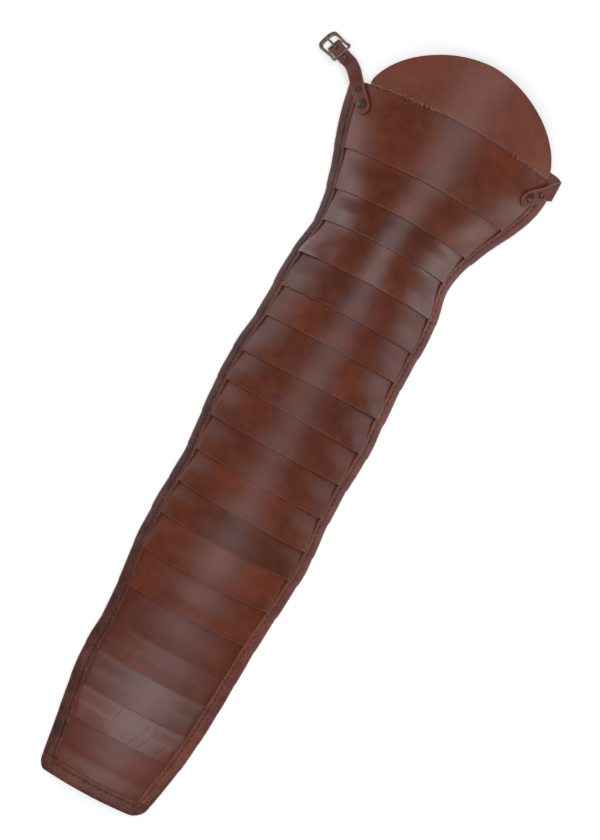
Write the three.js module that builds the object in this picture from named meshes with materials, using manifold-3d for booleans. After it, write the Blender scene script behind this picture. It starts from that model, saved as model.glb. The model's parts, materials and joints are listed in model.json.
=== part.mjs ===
// A leather manica: an arm guard of overlapping lames under a rounded shoulder cap, with bound edges,
// a short strap with a buckle at the left of the shoulder and a long strap at the right.
// Millimetres, +Z up and +Y towards the shoulder.
// It lies on its bound edges, with the hollow for the arm below.
import * as THREE from 'three';
import { mergeVertices } from 'three/addons/utils/BufferGeometryUtils.js';
import Module from 'manifold-3d';

const wasm = await Module();
wasm.setup();

// Thicknesses, and the gap between pieces
const LAME = 2.0;
const CAP = 2.2;
const BINDING = 1.2;
const STRAP = 1.8;
const GAP = 0.3;

// Meshing: how near two points are merged, and the steps that find a column of the arch
const MERGE_DISTANCE = 1e-4;
const COLUMN_SEARCH_STEPS = 6;

// Lames
const OVERLAP = 12;
const LAP_STEP = LAME + GAP;
const ARCH_COLUMNS = 12;
const EDGE_LIFT = 2.0;
const EDGE_ALLOWANCE = 2.4;

// Binding: the width of its folded legs, the flat it rests on, and the short slope where a lame ends under it
const BINDING_WIDTH = 12.5;
const BINDING_GAP = 0.5;
const REST_WIDTH = 3.0;
const STEP_SLOPE = 2.0;
const BINDING_TOP_LEFT = 291;
const BINDING_TOP_RIGHT = 281;

// Shoulder cap: a superellipse above the seam, and how far its rim drops
const SEAM_Y = 293;
const CAP_CENTRE_X = 4;
const CAP_HALF_WIDTH = 89;
const CAP_DEPTH = 60;
const CAP_POWER = 1.75;
const CAP_DROOP = 0.3;
const CAP_END = 0.993;
const CAP_COLUMNS = 14;
const CAP_ROWS = 4;
const SHOULDER_CORNER_X = 86;
const SHOULDER_CORNER_WIDTH = 16;
const SHOULDER_CORNER_DROP = 5;

// Wrist edge and its rounded corners
const WRIST_Y = -384.5;
const CORNER_HEIGHT = 14;
const CORNER_LEFT = 8;
const CORNER_RIGHT = 15;
const CORNER_STEPS = 4;
const WRIST_STEPS = 6;

// Straps
const STRAP_WIDTH = 12.6;
const ROOT_HEIGHT = LAME + BINDING_GAP + BINDING + GAP + STRAP / 2;
const FOLD_STEPS = 6;
const LONG_FOLD_X = 103.1;
const LONG_FOLD_Y = 289;
const LONG_FOLD_RADIUS = 3.0;
const LONG_FOLD_HALF = 9.5;
const LONG_FOLD_ADVANCE = 1.5;
const LONG_FOLD_START = THREE.MathUtils.degToRad(60);
const LONG_FOLD_SWEEP = THREE.MathUtils.degToRad(150);
const FLOOR_CLEARANCE = 0.05;

// Strap routes: share is the share of full width there, and the face points out of the strap
const BUCKLE_STRAP_ROOT = [
  { x: -78.3, y: 265.6, share: 0.55 },
  { x: -80.2, y: 268.4, share: 0.95 },
  { x: -83.2, y: 273.2, share: 1 },
  { x: -92.3, y: 283.6, share: 1 },
];
const BUCKLE_STRAP_DROP = [
  { x: -98.6, y: 291.4, z: 11.2, faceX: -0.5, faceY: 0.1, faceZ: 0.86 },
  { x: -104.6, y: 298.2, z: 10.0, faceX: -0.25, faceY: 0.05, faceZ: 0.97 },
];
const LONG_STRAP_ROOT = [
  { x: 83.2, y: 261.4, share: 0.5 },
  { x: 84.7, y: 263.6, share: 0.9 },
  { x: 87.5, y: 269.8, share: 1 },
  { x: 97.7, y: 280.6, share: 1 },
];
const LONG_STRAP_HIDDEN = [
  { x: 90, y: 297, share: 1 },
  { x: 76, y: 303, share: 1 },
  { x: 36, y: 310, share: 1 },
  { x: -28, y: 312, share: 1 },
  { x: -34, y: 312, share: 0.4 },
];

// Rivets
const RIVET_SHANK = 1.4;
const RIVET_SIDES = 10;
const RIVET_CAP_HEIGHT = 1.0;
const RIVET_BACK_SHARE = 0.75;
const RIVET_CROWN_SHARE = 0.8;
const RIVET_SHOULDER_SHARE = 0.7;
const INNER_RIVET_UNDER = -BINDING_GAP - BINDING - GAP;
const OUTER_RIVET_UNDER = INNER_RIVET_UNDER - BINDING;
const RIVET_SEAT = 2 * GAP;
const ROOT_HOLE_REACH = 4 * ROOT_HEIGHT;
const LEFT_RIVETS = [
  { name: 'strap_rivet_1', x: -83.2, y: 273.2, radius: 4.2, under: INNER_RIVET_UNDER },
  { name: 'strap_rivet_2', x: -92.3, y: 283.6, radius: 3.0, under: OUTER_RIVET_UNDER },
];
const RIGHT_RIVETS = [
  { name: 'strap_rivet_3', x: 87.5, y: 269.8, radius: 4.2, under: INNER_RIVET_UNDER },
  { name: 'strap_rivet_4', x: 95.2, y: 277.6, radius: 3.0, under: OUTER_RIVET_UNDER },
];

// Buckle: a flat frame with a round centre bar, tipped so that its rear bar lies on the strap
const BAR_CENTRE = new THREE.Vector3(-129.5, 309.5, 7.95);
const BUCKLE_FORWARD = new THREE.Vector3(-0.94, 0.345, 0).normalize();
const BUCKLE_TILT = THREE.MathUtils.degToRad(26);
const BAR_RADIUS = 1.1;
const BAR_CLEARANCE = 0.35;
const FOLD_RADIUS = BAR_RADIUS + BAR_CLEARANCE + STRAP / 2;
const FRAME_HALF_WIDTH = 10.2;
const FRAME_SIDE = 2.6;
const FRAME_FRONT = 15.2;
const FRAME_FRONT_BAR = 4.7;
const FRAME_REAR = -9.7;
const FRAME_REAR_BAR = 2.0;
const FRAME_THICKNESS = 2.4;
const FRAME_WAIST = 0.8;
const FRAME_REAR_INSET = 0.5;
const FRAME_KNUCKLE = 1.5 * FRAME_REAR_BAR;
const FRAME_SHOULDER = 0.6 * FRAME_FRONT;
const FRAME_CROWN = 0.95 * FRAME_FRONT;
const FRAME_CURVE_STEPS = 5;
const BAR_TENON = 1.0;
const PRONG_WIDTH = 2.4;
const PRONG_RING = 1.15;
const PRONG_REACH = 14;
const PRONG_TIP = 0.7;
const PRONG_TAPER = 4;
const SLOT_WIDTH = 3.6;
const SLOT_LENGTH = 10;
const FOLD_RIVET_BACK = 12.6;
const FOLD_RIVET_RADIUS = 2.4;
const FOLD_RIVET_MARGIN = 3.0;
const FOLD_RIVET_GRIP = 2 * STRAP + 3 * GAP;
const FOLD_HOLE_REACH = 6 * STRAP;
const FOLD_START_BACK = 6.5;
const DROP_END_BACK = 20;
const DROP_END_HEIGHT = 2.0;
const TAIL_LENGTH = 19.5;

// The outline from the wrist to the shoulder: outer edges (x) and the arch's rise at each section
const SECTIONS = [
  { y: -384.5, left: -62.0, right: 42.0, rise: 9 },
  { y: -360, left: -65.0, right: 47.5, rise: 9.5 },
  { y: -324, left: -70.0, right: 54.0, rise: 11 },
  { y: -288, left: -75.0, right: 58.0, rise: 12.5 },
  { y: -261, left: -76.0, right: 59.5, rise: 14 },
  { y: -234, left: -74.5, right: 60.5, rise: 17 },
  { y: -198, left: -76.5, right: 62.0, rise: 22 },
  { y: -162, left: -80.0, right: 65.0, rise: 29.5 },
  { y: -117, left: -80.0, right: 68.5, rise: 35 },
  { y: -72, left: -78.0, right: 66.0, rise: 37 },
  { y: -36, left: -81.0, right: 66.5, rise: 37 },
  { y: 0, left: -83.5, right: 69.0, rise: 37 },
  { y: 36, left: -83.0, right: 67.5, rise: 38 },
  { y: 72, left: -79.0, right: 66.5, rise: 40 },
  { y: 126, left: -78.0, right: 67.5, rise: 43 },
  { y: 171, left: -73.0, right: 62.0, rise: 44 },
  { y: 207, left: -80.0, right: 74.5, rise: 44 },
  { y: 233, left: -88.5, right: 88.5, rise: 43 },
  { y: 261, left: -97.0, right: 100.0, rise: 44 },
  { y: 293, left: -104.0, right: 104.0, rise: 44 },
];

// The lower edge of each lame but the last, from the shoulder down, at its left and right ends
const LOWER_EDGES = [
  { left: 233, right: 233 },
  { left: 197, right: 196 },
  { left: 167.5, right: 167.5 },
  { left: 132.5, right: 133 },
  { left: 99, right: 99 },
  { left: 68.5, right: 68.5 },
  { left: 31, right: 33 },
  { left: 2, right: -2 },
  { left: -32.5, right: -35 },
  { left: -65, right: -69 },
  { left: -97.5, right: -102.5 },
  { left: -130, right: -131 },
  { left: -165.5, right: -165.5 },
  { left: -201.5, right: -201.5 },
  { left: -235, right: -235 },
  { left: -264, right: -266 },
  { left: -298, right: -298 },
  { left: -328, right: -328 },
];

const LEATHER_COLOUR = 0x643223;
const CAP_COLOUR = 0x73463e;
const BINDING_COLOUR = 0x5a3430;
const STRAP_COLOUR = 0x6e3e33;
const BUCKLE_COLOUR = 0x6b6058;
const RIVET_COLOUR = 0x5c5340;

const manica = new THREE.Group();
const hinged = new THREE.Group();

function leather(color) {
  return new THREE.MeshStandardMaterial({ color, roughness: 0.5, metalness: 0 });
}

function metal(color) {
  return new THREE.MeshStandardMaterial({ color, roughness: 0.4, metalness: 0.9 });
}

function addPiece(name, geometry, material, parent = manica) {
  const mesh = new THREE.Mesh(geometry, material);
  mesh.name = name;
  parent.add(mesh);
  return mesh;
}

// A closed solid of triangles, turned so that its faces point out
function closedSolid(points, faces) {
  const volume = faces.reduce(
    (sum, [a, b, c]) => sum + points[a].dot(new THREE.Vector3().crossVectors(points[b], points[c])),
    0,
  );
  const turned = volume > 0 ? faces : faces.map(([a, b, c]) => [a, c, b]);
  const geometry = new THREE.BufferGeometry();
  geometry.setAttribute('position', new THREE.Float32BufferAttribute(points.flatMap((p) => p.toArray()), 3));
  geometry.setIndex(turned.flat());
  return geometry;
}

// A solid through rings of points that all follow one counter-clockwise outline
function loft(rings, outline) {
  const count = outline.length;
  const faces = [];
  for (let r = 0; r + 1 < rings.length; r += 1) {
    for (let k = 0; k < count; k += 1) {
      const a = r * count + k;
      const b = r * count + ((k + 1) % count);
      faces.push([a, b, b + count], [a, b + count, a + count]);
    }
  }
  const last = (rings.length - 1) * count;
  for (const [i, j, k] of THREE.ShapeUtils.triangulateShape(outline, [])) {
    faces.push([i, k, j], [last + i, last + j, last + k]);
  }
  return closedSolid(rings.flat(), faces);
}

// A sheet of leather between two grids of points, its under and its outer face, as rows of columns
function sheet(under, outer) {
  const lastRow = under.length - 1;
  const lastColumn = under[0].length - 1;
  const faces = [];
  const at = (layer, row, column) => (layer * under.length + row) * under[0].length + column;
  const quad = (a, b, c, d) => faces.push([a, b, c], [a, c, d]);
  for (let r = 0; r < lastRow; r += 1) {
    for (let c = 0; c < lastColumn; c += 1) {
      quad(at(1, r, c), at(1, r, c + 1), at(1, r + 1, c + 1), at(1, r + 1, c));
      quad(at(0, r, c), at(0, r + 1, c), at(0, r + 1, c + 1), at(0, r, c + 1));
    }
    quad(at(0, r + 1, 0), at(0, r, 0), at(1, r, 0), at(1, r + 1, 0));
    quad(at(0, r, lastColumn), at(0, r + 1, lastColumn), at(1, r + 1, lastColumn), at(1, r, lastColumn));
  }
  for (let c = 0; c < lastColumn; c += 1) {
    quad(at(0, 0, c), at(0, 0, c + 1), at(1, 0, c + 1), at(1, 0, c));
    quad(at(0, lastRow, c + 1), at(0, lastRow, c), at(1, lastRow, c), at(1, lastRow, c + 1));
  }
  return closedSolid([...under.flat(), ...outer.flat()], faces);
}

function toManifold(geometry) {
  const bare = geometry.clone();
  bare.deleteAttribute('normal');
  bare.deleteAttribute('uv');
  const merged = mergeVertices(bare, MERGE_DISTANCE);
  return new wasm.Manifold(new wasm.Mesh({
    numProp: 3,
    vertProperties: new Float32Array(merged.attributes.position.array),
    triVerts: new Uint32Array(merged.index.array),
  }));
}

function toGeometry(solid) {
  const mesh = solid.getMesh();
  const geometry = new THREE.BufferGeometry();
  geometry.setAttribute('position', new THREE.Float32BufferAttribute(mesh.vertProperties, 3));
  geometry.setIndex([...mesh.triVerts]);
  return geometry;
}

function cut(geometry, tools) {
  return toGeometry(tools.reduce((solid, tool) => solid.subtract(toManifold(tool)), toManifold(geometry)));
}

// The arch under the lames
const sectionAt = new THREE.CubicInterpolant(
  SECTIONS.map((row) => row.y),
  SECTIONS.flatMap((row) => [row.left, row.right, row.rise]),
  3,
  new Float64Array(3),
);

function arch(y) {
  const [left, right, rise] = sectionAt.evaluate(y);
  return { middle: (left + right) / 2, half: (right - left) / 2 - EDGE_ALLOWANCE, rise };
}

// Places over the arch: s runs from -1 at the left edge of the lames to 1 at the right,
// and n is the height off the arch
function archNormal(y, s) {
  const { half, rise } = arch(y);
  return new THREE.Vector3(2 * rise * s, 0, half).normalize();
}

function archPoint(y, s, n) {
  const { middle, half, rise } = arch(y);
  const foot = new THREE.Vector3(middle + half * s, y, EDGE_LIFT + rise * (1 - s * s));
  return foot.addScaledVector(archNormal(y, s), n);
}

// The s of a point that lies n over the arch at x
function archColumn(x, y, n) {
  const { middle, half } = arch(y);
  let s = (x - middle) / half;
  for (let i = 0; i < COLUMN_SEARCH_STEPS; i += 1) {
    s = (x - n * archNormal(y, s).x - middle) / half;
  }
  return s;
}

// The s of a point that lies a given distance along the arch inside one edge
function edgeColumn(y, side, inset) {
  const { half, rise } = arch(y);
  return side * (1 - inset / Math.hypot(half, 2 * rise));
}

// Columns across the arch, closer together near the edges
const COLUMNS = Array.from({ length: ARCH_COLUMNS + 1 }, (_, k) => -Math.cos((Math.PI * k) / ARCH_COLUMNS));

function acrossEdge(edge, s) {
  return THREE.MathUtils.lerp(edge.left, edge.right, (s + 1) / 2);
}

function seamEdge(s) {
  const x = archPoint(SEAM_Y, s, 0).x;
  const past = Math.max(0, Math.abs(x) - SHOULDER_CORNER_X) / SHOULDER_CORNER_WIDTH;
  return SEAM_Y - GAP - SHOULDER_CORNER_DROP * past * past;
}

function cornerRise(distance, width, height) {
  const past = THREE.MathUtils.clamp(1 - distance / width, 0, 1);
  return height * (1 - Math.sqrt(1 - past * past));
}

function wristEdge(s) {
  const { middle, half } = arch(WRIST_Y + CORNER_HEIGHT);
  const x = middle + half * s;
  const left = cornerRise(x - (middle - half), CORNER_LEFT, CORNER_HEIGHT);
  const right = cornerRise(middle + half - x, CORNER_RIGHT, CORNER_HEIGHT);
  return WRIST_Y + BINDING + BINDING_GAP + left + right;
}

// Each lame as rows of y and height: lapped over the next lame at its foot
// and tucked under the last at its head
function lameRows(index) {
  const above = LOWER_EDGES[index - 1];
  const below = LOWER_EDGES[index];
  const head = above
    ? [{ y: (s) => acrossEdge(above, s), n: 0 }, { y: (s) => acrossEdge(above, s) + OVERLAP, n: 0 }]
    : [{ y: seamEdge, n: 0 }];
  const foot = below
    ? [
      { y: (s) => acrossEdge(below, s), n: LAP_STEP },
      { y: (s) => acrossEdge(below, s) + OVERLAP, n: LAP_STEP },
    ]
    : [{ y: wristEdge, n: 0 }];
  return [...foot, ...head];
}

function lameGeometry(index) {
  const face = (height) => lameRows(index).map(
    (row) => COLUMNS.map((s) => archPoint(row.y(s), s, row.n + height)),
  );
  return sheet(face(0), face(LAME));
}

// The cap carries on the arch at the seam, with its rim lower than the seam
function capGeometry() {
  const columns = Array.from(
    { length: CAP_COLUMNS + 1 },
    (_, k) => -CAP_END * Math.cos((Math.PI * k) / CAP_COLUMNS),
  );
  const face = (height) => Array.from({ length: CAP_ROWS + 1 }, (_, row) => columns.map((across) => {
    const x = CAP_CENTRE_X + CAP_HALF_WIDTH * across;
    const out = CAP_DEPTH * (1 - Math.abs(across) ** CAP_POWER) ** (1 / CAP_POWER) * (row / CAP_ROWS);
    const s = archColumn(x, SEAM_Y, 0);
    const z = archPoint(SEAM_Y, s, 0).z * (1 - CAP_DROOP * (out / CAP_DEPTH));
    return new THREE.Vector3(x, SEAM_Y + out, z).addScaledVector(archNormal(SEAM_Y, s), height);
  }));
  return sheet(face(0), face(CAP));
}

// The binding's section, as distances in from the lames' edge and heights off the arch
function bindingOutline(top) {
  const outer = -BINDING_GAP - BINDING;
  const skin = top + BINDING_GAP + BINDING;
  return [
    { inset: BINDING_WIDTH, n: skin },
    { inset: 0, n: skin },
    { inset: outer, n: top / 2 },
    { inset: outer, n: outer, floor: 0 },
    { inset: outer, n: outer, floor: REST_WIDTH },
    { inset: BINDING_WIDTH, n: outer },
    { inset: BINDING_WIDTH, n: -BINDING_GAP },
    { inset: -BINDING_GAP, n: -BINDING_GAP },
    { inset: -BINDING_GAP, n: top + BINDING_GAP },
    { inset: BINDING_WIDTH, n: top + BINDING_GAP },
  ];
}

const BINDING_CAP = bindingOutline(LAME).map(
  ({ inset, n, floor = 0 }) => new THREE.Vector2(inset + floor, n),
);

// Stations along a side binding: y, and the height of the lames inside it
function bindingStations(side, end) {
  const stations = [{ y: end, top: LAME }];
  LOWER_EDGES.forEach((edge, i) => {
    const y = side < 0 ? edge.left : edge.right;
    const next = LOWER_EDGES[i + 1];
    stations.push({ y: y + OVERLAP, top: LAME + LAP_STEP }, { y: y - GAP, top: LAME + LAP_STEP });
    const rampLength = next ? y - (side < 0 ? next.left : next.right) - OVERLAP : Infinity;
    stations.push({ y: y - GAP - STEP_SLOPE, top: LAME + (LAP_STEP * (GAP + STEP_SLOPE)) / rampLength });
  });
  stations.push({ y: WRIST_Y + CORNER_HEIGHT + BINDING_GAP, top: LAME });
  return stations;
}

function sideBinding(side, end) {
  const stations = bindingStations(side, end);
  const rings = stations.map(({ y, top }) => bindingOutline(top).map(({ inset, n, floor }) => {
    const point = archPoint(y, edgeColumn(y, side, inset), n);
    if (floor !== undefined) {
      point.x = archPoint(y, edgeColumn(y, side, inset), top / 2).x - side * (GAP + floor);
      point.z = 0;
    }
    return point;
  }));
  return loft(rings, BINDING_CAP);
}

// The wrist edge's binding follows a path round both corners
function wristPath() {
  const { middle, half } = arch(WRIST_Y + CORNER_HEIGHT);
  const left = middle - half - BINDING - BINDING_GAP;
  const right = middle + half + BINDING + BINDING_GAP;
  const path = [];
  for (let k = 0; k <= CORNER_STEPS; k += 1) {
    const turn = (Math.PI / 2) * (k / CORNER_STEPS);
    path.push(new THREE.Vector2(
      left + CORNER_LEFT * (1 - Math.cos(turn)),
      WRIST_Y + CORNER_HEIGHT * (1 - Math.sin(turn)),
    ));
  }
  for (let k = 1; k < WRIST_STEPS; k += 1) {
    path.push(new THREE.Vector2(
      THREE.MathUtils.lerp(left + CORNER_LEFT, right - CORNER_RIGHT, k / WRIST_STEPS),
      WRIST_Y,
    ));
  }
  for (let k = CORNER_STEPS; k >= 0; k -= 1) {
    const turn = (Math.PI / 2) * (k / CORNER_STEPS);
    path.push(new THREE.Vector2(
      right - CORNER_RIGHT * (1 - Math.cos(turn)),
      WRIST_Y + CORNER_HEIGHT * (1 - Math.sin(turn)),
    ));
  }
  return path;
}

function wristBinding() {
  const path = wristPath();
  const rings = path.map((point, k) => {
    const before = path[Math.max(k - 1, 0)];
    const after = path[Math.min(k + 1, path.length - 1)];
    const along = after.clone().sub(before).normalize();
    const inward = k === 0 ? new THREE.Vector2(1, 0) : new THREE.Vector2(-along.y, along.x);
    if (k === path.length - 1) {
      inward.set(-1, 0);
    }
    return bindingOutline(LAME).map(({ inset, n, floor = 0 }) => {
      const place = point.clone().addScaledVector(inward, inset + BINDING + BINDING_GAP + floor);
      const s = archColumn(place.x, Math.max(place.y, WRIST_Y), 0);
      const z = archPoint(Math.max(place.y, WRIST_Y), THREE.MathUtils.clamp(s, -1, 1), 0).z + n;
      return new THREE.Vector3(place.x, place.y, Math.max(z, 0));
    });
  });
  return loft(rings, BINDING_CAP);
}

// A strap as a flat strip: each station has its place, the direction across it with its half width,
// and its face
const STRAP_CAP = [
  new THREE.Vector2(-1, -1),
  new THREE.Vector2(1, -1),
  new THREE.Vector2(1, 1),
  new THREE.Vector2(-1, 1),
];

function strapGeometry(stations) {
  const rings = stations.map(({ place, across, face }) => STRAP_CAP.map((corner) => place.clone()
    .addScaledVector(across, corner.x)
    .addScaledVector(face, (corner.y * STRAP) / 2)));
  return loft(rings, STRAP_CAP);
}

// Stations square across a run of places with their faces
function squareStations(run) {
  return run.map(({ place, face, width = STRAP_WIDTH }, k) => {
    const before = run[Math.max(k - 1, 0)].place;
    const after = run[Math.min(k + 1, run.length - 1)].place;
    const along = after.clone().sub(before);
    const across = new THREE.Vector3().crossVectors(face, along).setLength(width / 2);
    return { place, across, face };
  });
}

// A place on the outer face of the shoulder, over the binding
function onShoulder({ x, y, share }) {
  const s = archColumn(x, y, ROOT_HEIGHT);
  return { place: archPoint(y, s, ROOT_HEIGHT), face: archNormal(y, s), width: STRAP_WIDTH * share };
}

const UP = new THREE.Vector3(0, 0, 1);

function besideBar(back, height) {
  return BAR_CENTRE.clone().addScaledVector(BUCKLE_FORWARD, -back).addScaledVector(UP, height);
}

function buckleStrapStations() {
  const pair = (STRAP + GAP) / 2;
  const root = BUCKLE_STRAP_ROOT.map(onShoulder);
  const drop = BUCKLE_STRAP_DROP.map(({ x, y, z, faceX, faceY, faceZ }) => ({
    place: new THREE.Vector3(x, y, z),
    face: new THREE.Vector3(faceX, faceY, faceZ).normalize(),
  }));
  const free = [
    ...drop,
    { place: besideBar(DROP_END_BACK, DROP_END_HEIGHT), face: UP },
    { place: besideBar(FOLD_RIVET_BACK + FOLD_RIVET_MARGIN, pair), face: UP },
    { place: besideBar(FOLD_START_BACK, pair), face: UP },
  ];
  const fold = [];
  for (let k = 0; k <= FOLD_STEPS; k += 1) {
    const turn = Math.PI / 2 - (Math.PI * k) / FOLD_STEPS;
    const face = BUCKLE_FORWARD.clone().multiplyScalar(Math.cos(turn)).addScaledVector(UP, Math.sin(turn));
    fold.push({ place: BAR_CENTRE.clone().addScaledVector(face, FOLD_RADIUS), face });
  }
  const down = UP.clone().negate();
  const tail = [
    { place: besideBar(FOLD_START_BACK, -pair), face: down },
    { place: besideBar(FOLD_RIVET_BACK, -pair), face: down },
    { place: besideBar(TAIL_LENGTH, -pair), face: down },
  ];
  return squareStations([...root, ...free, ...fold, ...tail]);
}

function longStrapStations() {
  const root = squareStations(LONG_STRAP_ROOT.map(onShoulder));
  const foldHeight = LONG_FOLD_RADIUS + STRAP / 2 + FLOOR_CLEARANCE;
  const fold = [];
  for (let k = 0; k <= FOLD_STEPS; k += 1) {
    const turn = LONG_FOLD_START - (LONG_FOLD_SWEEP * k) / FOLD_STEPS;
    const face = new THREE.Vector3(Math.cos(turn), 0, Math.sin(turn));
    const middle = new THREE.Vector3(LONG_FOLD_X, LONG_FOLD_Y - LONG_FOLD_ADVANCE * turn, foldHeight);
    fold.push({
      place: middle.addScaledVector(face, LONG_FOLD_RADIUS),
      across: new THREE.Vector3(0, LONG_FOLD_HALF, 0),
      face,
    });
  }
  const rest = STRAP / 2 + FLOOR_CLEARANCE;
  const down = UP.clone().negate();
  const hidden = squareStations(LONG_STRAP_HIDDEN.map(({ x, y, share }) => ({
    place: new THREE.Vector3(x, y, rest), face: down, width: STRAP_WIDTH * share,
  })));
  return [...root, ...fold, ...hidden];
}

// A rivet: a cap on each side of the leather, on a shank along +Z from the underside
function rivetGeometry(radius, grip) {
  const back = radius * RIVET_BACK_SHARE;
  const rivet = new THREE.LatheGeometry([
    new THREE.Vector2(0, -RIVET_CAP_HEIGHT),
    new THREE.Vector2(back, -RIVET_CAP_HEIGHT),
    new THREE.Vector2(back, 0),
    new THREE.Vector2(RIVET_SHANK, 0),
    new THREE.Vector2(RIVET_SHANK, grip),
    new THREE.Vector2(radius, grip),
    new THREE.Vector2(radius * RIVET_CROWN_SHARE, grip + RIVET_CAP_HEIGHT * RIVET_SHOULDER_SHARE),
    new THREE.Vector2(0, grip + RIVET_CAP_HEIGHT),
  ], RIVET_SIDES);
  return rivet.rotateX(Math.PI / 2);
}

function placeAlong(object, place, face) {
  object.position.copy(place);
  object.quaternion.setFromUnitVectors(UP, face);
  object.updateMatrix();
}

// A hole for a rivet's shank, well past both faces of the leather
function rivetHole(mesh, reach) {
  const hole = new THREE.CylinderGeometry(RIVET_SHANK + GAP, RIVET_SHANK + GAP, reach, RIVET_SIDES);
  hole.rotateX(Math.PI / 2);
  return hole.applyMatrix4(mesh.matrix);
}

function rootRivet({ name, x, y, radius, under }) {
  const s = archColumn(x, y, ROOT_HEIGHT);
  const grip = ROOT_HEIGHT + STRAP / 2 + RIVET_SEAT - under;
  const rivet = addPiece(name, rivetGeometry(radius, grip), metal(RIVET_COLOUR));
  placeAlong(rivet, archPoint(y, s, under), archNormal(y, s));
  return rivetHole(rivet, ROOT_HOLE_REACH);
}

const leftHoles = LEFT_RIVETS.map(rootRivet);
const rightHoles = RIGHT_RIVETS.map(rootRivet);
const foldRivet = addPiece(
  'strap_rivet_5', rivetGeometry(FOLD_RIVET_RADIUS, FOLD_RIVET_GRIP), metal(RIVET_COLOUR),
);
placeAlong(foldRivet, besideBar(FOLD_RIVET_BACK, -FOLD_RIVET_GRIP / 2), UP);
const foldHole = rivetHole(foldRivet, FOLD_HOLE_REACH);

// Cap, lames and binding
addPiece('shoulder_cap', capGeometry(), leather(CAP_COLOUR));
for (let index = 0; index <= LOWER_EDGES.length; index += 1) {
  const name = `lame_${String(index + 1).padStart(2, '0')}`;
  const plain = lameGeometry(index);
  const geometry = index === 0 ? cut(plain, [...leftHoles, ...rightHoles]) : plain;
  addPiece(name, geometry, leather(LEATHER_COLOUR));
}
addPiece('binding_left', cut(sideBinding(-1, BINDING_TOP_LEFT), leftHoles), leather(BINDING_COLOUR));
addPiece('binding_right', cut(sideBinding(1, BINDING_TOP_RIGHT), rightHoles), leather(BINDING_COLOUR));
addPiece('binding_wrist', wristBinding(), leather(BINDING_COLOUR));

// The buckle's own frame: +X along its bar, +Y forward
const bar = new THREE.Vector3().crossVectors(BUCKLE_FORWARD, UP);
hinged.position.copy(BAR_CENTRE);
hinged.quaternion.setFromRotationMatrix(new THREE.Matrix4().makeBasis(bar, BUCKLE_FORWARD, UP));
hinged.updateMatrix();
manica.add(hinged);

const slot = new THREE.BoxGeometry(SLOT_WIDTH, SLOT_LENGTH, SLOT_LENGTH).applyMatrix4(hinged.matrix);
addPiece('buckle_strap', cut(strapGeometry(buckleStrapStations()), [...leftHoles, foldHole, slot]),
  leather(STRAP_COLOUR));
addPiece('long_strap', cut(strapGeometry(longStrapStations()), rightHoles), leather(STRAP_COLOUR));

function frameGeometry() {
  const half = FRAME_HALF_WIDTH;
  const waist = half - FRAME_WAIST;
  const rear = half - FRAME_REAR_INSET;
  const knuckle = FRAME_REAR + FRAME_KNUCKLE;
  const outline = new THREE.Shape();
  outline.moveTo(-rear, FRAME_REAR);
  outline.lineTo(rear, FRAME_REAR);
  outline.lineTo(rear, knuckle);
  outline.quadraticCurveTo(waist, 0, half, FRAME_SHOULDER);
  outline.quadraticCurveTo(half, FRAME_CROWN, 0, FRAME_FRONT);
  outline.quadraticCurveTo(-half, FRAME_CROWN, -half, FRAME_SHOULDER);
  outline.quadraticCurveTo(-waist, 0, -rear, knuckle);
  const inner = half - FRAME_SIDE;
  const window = new THREE.Path();
  const front = FRAME_FRONT - FRAME_FRONT_BAR;
  window.moveTo(-inner, FRAME_REAR + FRAME_REAR_BAR);
  window.lineTo(-inner, front);
  window.lineTo(inner, front);
  window.lineTo(inner, FRAME_REAR + FRAME_REAR_BAR);
  outline.holes.push(window);
  const plate = new THREE.ExtrudeGeometry(outline, {
    depth: FRAME_THICKNESS, curveSegments: FRAME_CURVE_STEPS, bevelEnabled: false,
  });
  plate.translate(0, 0, -FRAME_THICKNESS / 2);
  const round = new THREE.CylinderGeometry(BAR_RADIUS, BAR_RADIUS, 2 * (inner + BAR_TENON), RIVET_SIDES);
  round.rotateZ(Math.PI / 2);
  return toGeometry(toManifold(plate).add(toManifold(round)));
}

function prongGeometry() {
  const hole = BAR_RADIUS + GAP / 2;
  const ring = hole + PRONG_RING;
  const seat = FRAME_THICKNESS / 2 + GAP;
  const side = new THREE.Shape();
  const start = Math.asin(seat / ring);
  side.moveTo(ring * Math.cos(start), seat);
  side.lineTo(PRONG_REACH, seat);
  side.lineTo(PRONG_REACH, seat + PRONG_TIP);
  side.lineTo(PRONG_REACH - PRONG_TAPER, ring);
  side.lineTo(0, ring);
  side.absarc(0, 0, ring, Math.PI / 2, 2 * Math.PI + start, false);
  const eye = new THREE.Path();
  eye.absarc(0, 0, hole, 0, 2 * Math.PI, true);
  side.holes.push(eye);
  const prong = new THREE.ExtrudeGeometry(side, {
    depth: PRONG_WIDTH, curveSegments: RIVET_SIDES / 2, bevelEnabled: false,
  });
  prong.translate(0, 0, -PRONG_WIDTH / 2);
  prong.applyMatrix4(new THREE.Matrix4().makeBasis(
    new THREE.Vector3(0, 1, 0),
    new THREE.Vector3(0, 0, 1),
    new THREE.Vector3(1, 0, 0),
  ));
  return prong;
}

const tipped = new THREE.Group();
tipped.rotation.x = -BUCKLE_TILT;
hinged.add(tipped);
addPiece('buckle_frame', frameGeometry(), metal(BUCKLE_COLOUR), tipped);
addPiece('buckle_prong', prongGeometry(), metal(BUCKLE_COLOUR), tipped);

// The origin is the middle of the manica's box, on the surface that it lies on
const box = new THREE.Box3().setFromObject(manica, true);
const centre = box.getCenter(new THREE.Vector3());
manica.position.set(-centre.x, -centre.y, -box.min.z);

export default manica;
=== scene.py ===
"""A leather manica: overlapping lames under a rounded shoulder cap, bound edges, two straps and a buckle."""

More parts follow.
